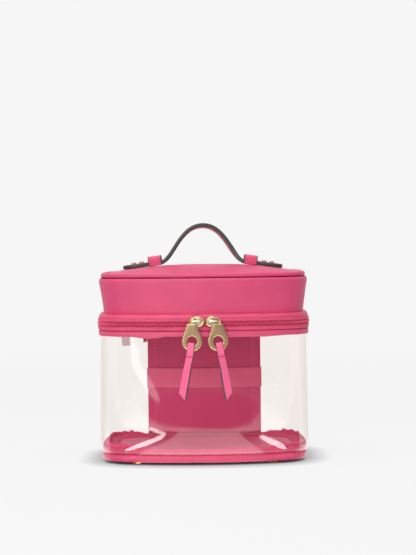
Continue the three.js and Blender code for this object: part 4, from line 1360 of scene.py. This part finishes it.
def pull_curl(word, side):
    """The top of a pull, which curls round the slider's bar."""
    bm = bmesh.new()
    near, far = PIN_RADIUS + 0.25 * MM, PIN_RADIUS + 1.5 * MM
    left, right = PULL_OFFSET - PULL_NECK / 2, PIN_HALF - 1.5 * MM
    start = math.radians(80)
    verts = [bm.verts.new((x, -PIN_OUT - r * math.cos(start), PIN_RISE + r * math.sin(start)))
             for x, r in ((left, near), (right, near), (right, far), (left, far))]
    face = bm.faces.new(verts)
    bmesh.ops.spin(bm, geom=[face, *face.edges, *verts], cent=(0, -PIN_OUT, PIN_RISE),
                   axis=(1, 0, 0), angle=math.radians(-200), steps=20, use_duplicate=False)
    curl = to_object(bm, f"pull_curl_{word}", "brushed_gold", crease=35, at=on_bow(side))
    go_with(round_edges(curl, 0.2 * MM), f"pull_{word}")


def leather_tab(word, side, lean):
    """A leather tab looped through a pull, sewn under the loop and cut aslant at its tip."""
    bm = bmesh.new()
    half = 0.6 * MM
    top = PULL_LEVEL - TAB_RISE
    window = PULL_THICKNESS / 2 + 0.3 * MM
    rim = PULL_LEVEL - PULL_RADIUS - 0.5 * MM
    bind = top - TAB_BIND
    tip = top - TAB_LENGTH
    out = window + half
    front = [(-half, tip), (-half, bind - 12 * MM), (-half, bind), (-out, rim),
             (-out, top - 4 * MM), (-out, top - 1.4 * MM), (-window * 0.4, top - half)]
    points = smooth_points([*front, *[(-u, z) for u, z in reversed(front)]], 78)
    left = PULL_OFFSET - TAB_WIDTH / 2
    edges = line(bm, [(left, -PIN_OUT - u, z) for u, z in points])
    carry(bm, with_ends(edges), Vector((TAB_WIDTH / 6, 0, 0)), 6)
    for vert in bm.verts:
        share = (vert.co.x - left) / TAB_WIDTH
        vert.co.z += 5.8 * MM * share * smooth_step(tip + 14 * MM, tip, vert.co.z)
        turn = math.radians(8 + 24 * smooth_step(bind + 4 * MM, bind - 12 * MM, vert.co.z))
        flare = 1 + 0.28 * smooth_step(bind + 4 * MM, tip + 20 * MM, vert.co.z)
        x, y = (vert.co.x - PULL_OFFSET) * flare, vert.co.y + PIN_OUT
        vert.co.x = PULL_OFFSET + x * math.cos(turn) - y * math.sin(turn)
        vert.co.y = -PIN_OUT + x * math.sin(turn) + y * math.cos(turn)
        vert.co.x -= side * 1.1 * MM * smooth_step(bind + 6 * MM, tip, vert.co.z)
    hub = Vector((PULL_OFFSET, -PIN_OUT, PULL_LEVEL))
    spot = (on_bow(side) @ Matrix.Translation(hub) @ Matrix.Rotation(lean, 4, "Y")
            @ Matrix.Translation(-hub))
    piece = to_object(bm, f"leather_tab_{word}", "tab_faces", "edge_paint", crease=60, at=spot)
    piece = round_edges(thicken(piece, 1.15 * MM, 1), 0.35 * MM, finish=1)
    dress(piece, "tab_leather", f"pull_tab_{word}")
    bm = bmesh.new()
    places = [Matrix.Translation((PULL_OFFSET, -PIN_OUT + y, bind - 0.4 * MM))
              for y in (-1.9 * MM, 1.9 * MM)]
    beads(bm, places, (TAB_WIDTH / 2 + 0.9 * MM, 0.45 * MM, 0.42 * MM), 2)
    thread = to_object(bm, f"tab_thread_{word}", "dark_thread", at=spot)
    go_with(thread, f"tab_{word}")


# Stage


def plain_floor():
    """A pale floor that fades out at its rim. Its soft shadow is partly real, from its share of the
    lamps' light, and partly painted, where occlusion darkens its glow near the case; to gloss it
    shows a painted table reflection.
    """
    bm = bmesh.new()
    bmesh.ops.create_circle(bm, cap_ends=True, segments=96, radius=1.6)
    material, tree, shader, place = blank("pale_floor", (0.72, 0.72, 0.72), 0.9)
    shader.inputs["Specular IOR Level"].default_value = 0
    dim = add(tree, "ShaderNodeBsdfDiffuse", {"Color": (FLOOR_SHARE, FLOOR_SHARE, FLOOR_SHARE, 1)})
    # Occlusion darkens the floor's glow near the case: a painted contact shadow.
    painted_contact_shadow = add(tree, "ShaderNodeAmbientOcclusion", {"Distance": 0.026}, samples=8)
    # The camera sees the glow with its painted contact shadow; gloss sees the painted table
    # reflection.
    painted_glow_shape = add(tree, "ShaderNodeMix", {
        "Factor": add(tree, "ShaderNodeLightPath").outputs["Is Glossy Ray"],
        "A": painted_contact_shadow.outputs["AO"], "B": painted_table_reflection(tree, place)}, data_type="FLOAT")
    strength = maths(tree, "MULTIPLY", painted_glow_shape.outputs["Result"], FLOOR_GLOW)
    glow = add(tree, "ShaderNodeEmission", {"Color": (1, 1, 1, 1), "Strength": strength})
    both = add(tree, "ShaderNodeAddShader", {0: dim.outputs["BSDF"], 1: glow.outputs["Emission"]})
    seen = mixed(tree, seen_ray(tree), shader.outputs["BSDF"], both.outputs["Shader"])
    far = add(tree, "ShaderNodeVectorMath", {0: place}, operation="LENGTH")
    fade = ramp(tree, far.outputs["Value"], 0.5, 1.55, 0, 1)
    clear = add(tree, "ShaderNodeBsdfTransparent")
    surface(tree, mixed(tree, fade, seen, clear.outputs["BSDF"]))
    mesh = bpy.data.meshes.new("pale_floor")
    bm.to_mesh(mesh)
    bm.free()
    mesh.materials.append(material)
    made = bpy.data.objects.new("pale_floor", mesh)
    bpy.context.scene.collection.objects.link(made)


def painted_table_reflection(tree, place):
    """The table as gloss shows it, painted as glow on the floor: bright, with a painted dark round
    in front and a painted dark wing each side.
    """
    def step(value, *ends):
        return ramp(tree, value, *ends, interpolation_type="SMOOTHSTEP")

    gap = add(tree, "ShaderNodeVectorMath", {0: place, 1: ROUND_PLACE}, operation="DISTANCE")
    painted_dark_round = step(gap.outputs["Value"], ROUND_RADIUS, ROUND_RADIUS + 0.02, 0.12, 1)
    parts = add(tree, "ShaderNodeSeparateXYZ", {"Vector": place})
    across, along = parts.outputs["X"], parts.outputs["Y"]
    skewed = maths(tree, "ADD", across, maths(tree, "MULTIPLY", along, WING_SKEW))
    aside = maths(tree, "ABSOLUTE", maths(tree, "ADD", skewed, WING_SHIFT))
    aside = maths(tree, "ADD", aside, maths(tree, "MULTIPLY", along, WING_FLARE))
    wing = step(aside, WING_START, WING_START + 0.005, 1, 0.05)
    wing = maths(tree, "MAXIMUM", wing, step(along, -0.4, -0.375, 1, 0))
    wing = maths(tree, "MAXIMUM", wing, step(along, -0.05, -0.03, 0, 1))
    strength = step(maths(tree, "ABSOLUTE", across), 0.3, 0.42, PAINTED_REFLECTION_GLOW, 1.0)
    strength = maths(tree, "MINIMUM", strength, step(along, -0.02, 0.1, PAINTED_REFLECTION_GLOW, 1.0))
    return maths(tree, "MULTIPLY", maths(tree, "MULTIPLY", painted_dark_round, wing), strength)


def seen_ray(tree):
    """1 for rays that the camera, a mirror or clear sheet sends out, otherwise 0."""
    path = add(tree, "ShaderNodeLightPath").outputs
    first = maths(tree, "MAXIMUM", path["Is Camera Ray"], path["Is Glossy Ray"])
    return maths(tree, "MAXIMUM", first, path["Is Transmission Ray"])


def pale_world():
    """A plain pale surround, less strong as light than it looks, and dimmer in mirrors in front."""
    world = bpy.data.worlds.new("pale_world")
    world.use_nodes = True
    bpy.context.scene.world = world
    tree = world.node_tree
    ground = tree.nodes["Background"]
    ground.inputs["Color"].default_value = (1, 1, 1, 1)
    way = add(tree, "ShaderNodeTexCoord")
    parts = add(tree, "ShaderNodeSeparateXYZ", {"Vector": way.outputs["Generated"]})
    front = ramp(tree, parts.outputs["Y"], -0.8, -0.3, 0.35, 1, interpolation_type="SMOOTHSTEP")
    dimmed = add(tree, "ShaderNodeMix", {
        "Factor": add(tree, "ShaderNodeLightPath").outputs["Is Glossy Ray"], "A": 1.0, "B": front},
        data_type="FLOAT")
    bright = maths(tree, "MULTIPLY", dimmed.outputs["Result"], PALE)
    strength = add(tree, "ShaderNodeMix", {
        "Factor": seen_ray(tree), "A": SURROUND_LIGHT, "B": bright}, data_type="FLOAT")
    tree.links.new(strength.outputs["Result"], ground.inputs["Strength"])


def lamp(name, shape, place, turn, size, power):
    """A lamp that the camera doesn't see; an oval one is seen only in glossy surfaces."""
    data = bpy.data.lights.new(name, "AREA")
    data.shape = shape
    data.size, data.size_y = size
    data.energy = power
    made = bpy.data.objects.new(name, data)
    made.location = place
    made.rotation_euler = turn
    made.visible_camera = False
    made.visible_diffuse = shape != "ELLIPSE"
    bpy.context.scene.collection.objects.link(made)


def photo_camera():
    """A camera in front of the case, a little above it."""
    data = bpy.data.cameras.new("photo_camera")
    data.sensor_width = 36
    data.lens = CAMERA_LENS
    made = bpy.data.objects.new("photo_camera", data)
    made.location = CAMERA_PLACE
    tilt = Matrix.Rotation(math.radians(90 - CAMERA_DIP), 3, "X")
    roll = Matrix.Rotation(math.radians(CAMERA_ROLL), 3, "Z")
    made.rotation_euler = (tilt @ roll).to_euler()
    bpy.context.scene.collection.objects.link(made)
    bpy.context.scene.camera = made


# Operators


class TRAINCASE_OT_stage(bpy.types.Operator):
    """Sets up the floor, the surround, the lamps and the camera"""
    bl_idname = "train_case.stage"
    bl_label = "Stage"

    def execute(self, context):
        context.scene.view_settings.view_transform = "Standard"
        pale_world()
        plain_floor()
        for name, place, target, size, power in LAMPS:
            turn = (Vector(target) - Vector(place)).to_track_quat("-Z", "Y").to_euler()
            lamp(name, "RECTANGLE", place, turn, size, power)
        for name, place, turn, size, power in STRIPS:
            lamp(name, "ELLIPSE", place, [math.radians(part) for part in turn], size, power)
        photo_camera()
        return {"FINISHED"}


class TRAINCASE_OT_base(bpy.types.Operator):
    """Builds the base roll, foot strip, gathered binding, floor and feet"""
    bl_idname = "train_case.base"
    bl_label = "Base"

    def execute(self, context):
        rolled_piping("base_roll", "roll_leather", "base_piping", -6.1 * MM, -1.5 * MM,
                      2.1 * MM, 0.25 * MM, 16 * MM, 3.0)
        foot_strip()
        foot_stitches()
        gathered_binding()
        crumpled_edge()
        floor_pad()
        feet()
        return {"FINISHED"}


class TRAINCASE_OT_wall(bpy.types.Operator):
    """Builds the clear wall"""
    bl_idname = "train_case.wall"
    bl_label = "Clear wall"

    def execute(self, context):
        vinyl_wall()
        return {"FINISHED"}


class TRAINCASE_OT_rear(bpy.types.Operator):
    """Builds the rear panel's lining, strap and leather, the tag and the tape's ends"""
    bl_idname = "train_case.rear"
    bl_label = "Rear panel"

    def execute(self, context):
        panel_lining()
        panel_stitches()
        slack_strap()
        rear_leather()
        sewn_tag()
        tape_tails()
        return {"FINISHED"}


class TRAINCASE_OT_zip(bpy.types.Operator):
    """Builds the zip's binding, tapes, welt and coils"""
    bl_idname = "train_case.zip"
    bl_label = "Zip"

    def execute(self, context):
        zip_binding()
        zip_bands()
        zip_coils()
        return {"FINISHED"}


class TRAINCASE_OT_lid(bpy.types.Operator):
    """Builds the lid's wall, lining, roll and crowned top"""
    bl_idname = "train_case.lid"
    bl_label = "Lid"

    def execute(self, context):
        lid_wall()
        lid_inside()
        rolled_piping("lid_roll", "grained_leather", "lid_piping", -5.7 * MM, -1.3 * MM,
                      1.95 * MM, 0.2 * MM, 14 * MM, 12.0)
        lid_top()
        return {"FINISHED"}


class TRAINCASE_OT_handle(bpy.types.Operator):
    """Builds the handle's arch, its ends, keepers and studs"""
    bl_idname = "train_case.handle"
    bl_label = "Handle"

    def execute(self, context):
        handle_strap()
        for word, side in SIDES.items():
            strap_end(word, side)
            keeper_loop(word, side)
            keeper_stitches(word, side)
            domed_studs(word, side)
        return {"FINISHED"}


class TRAINCASE_OT_pulls(bpy.types.Operator):
    """Builds the sliders, their pulls and the leather tabs"""
    bl_idname = "train_case.pulls"
    bl_label = "Sliders and pulls"

    def execute(self, context):
        for (word, side), lean in zip(SIDES.items(), (9, 11.5)):
            for build in (slider_body, slider_frame, slider_bar, ring_pull, pull_curl):
                build(word, side)
            leather_tab(word, side, math.radians(-lean))
        return {"FINISHED"}


class TRAINCASE_OT_carcass(bpy.types.Operator):
    """Gives the boards, foam and washers inside the case their finishes"""
    bl_idname = "train_case.carcass"
    bl_label = "Hidden parts"

    def execute(self, context):
        looks = {"base_cover": "grained_leather", "base_board": "grey_board",
                 "base_foam": "white_foam", "back_panel_stiffener": "grey_board",
                 "lid_board": "grey_board"}
        for name, node in frame["nodes"].items():
            if name.startswith("foot_washer"):
                looks[name] = "foot_brass"
            if name in looks:
                node.data.materials.clear()
                node.data.materials.append(finish_named(looks[name]))
        return {"FINISHED"}


STEPS = (
    TRAINCASE_OT_stage, TRAINCASE_OT_base, TRAINCASE_OT_wall, TRAINCASE_OT_rear, TRAINCASE_OT_zip,
    TRAINCASE_OT_lid, TRAINCASE_OT_handle, TRAINCASE_OT_pulls, TRAINCASE_OT_carcass,
)


class TRAINCASE_PT_panel(bpy.types.Panel):
    """Lists the case's colours, sizes and building steps"""
    bl_idname = "TRAINCASE_PT_panel"
    bl_label = "Train case"
    bl_space_type = "VIEW_3D"
    bl_region_type = "UI"
    bl_category = "Train case"

    def draw(self, context):
        for group in (colours(), sizes()):
            for name in group.__annotations__:
                self.layout.prop(group, name)
        for step in STEPS:
            self.layout.operator(step.bl_idname)


CLASSES = (TrainCaseColours, TrainCaseSizes, *STEPS, TRAINCASE_PT_panel)


def register():
    """Adds the classes and the scene's settings."""
    for item in CLASSES:
        bpy.utils.register_class(item)
    bpy.types.Scene.train_case_colours = bpy.props.PointerProperty(type=TrainCaseColours)
    bpy.types.Scene.train_case_sizes = bpy.props.PointerProperty(type=TrainCaseSizes)


def unregister():
    """Takes the classes and the scene's settings away."""
    del bpy.types.Scene.train_case_sizes
    del bpy.types.Scene.train_case_colours
    for item in reversed(CLASSES):
        bpy.utils.unregister_class(item)


def main():
    """Builds the whole case."""
    register()
    for step in STEPS:
        space, name = step.bl_idname.split(".")
        getattr(getattr(bpy.ops, space), name)()


if __name__ == "__main__":
    main()
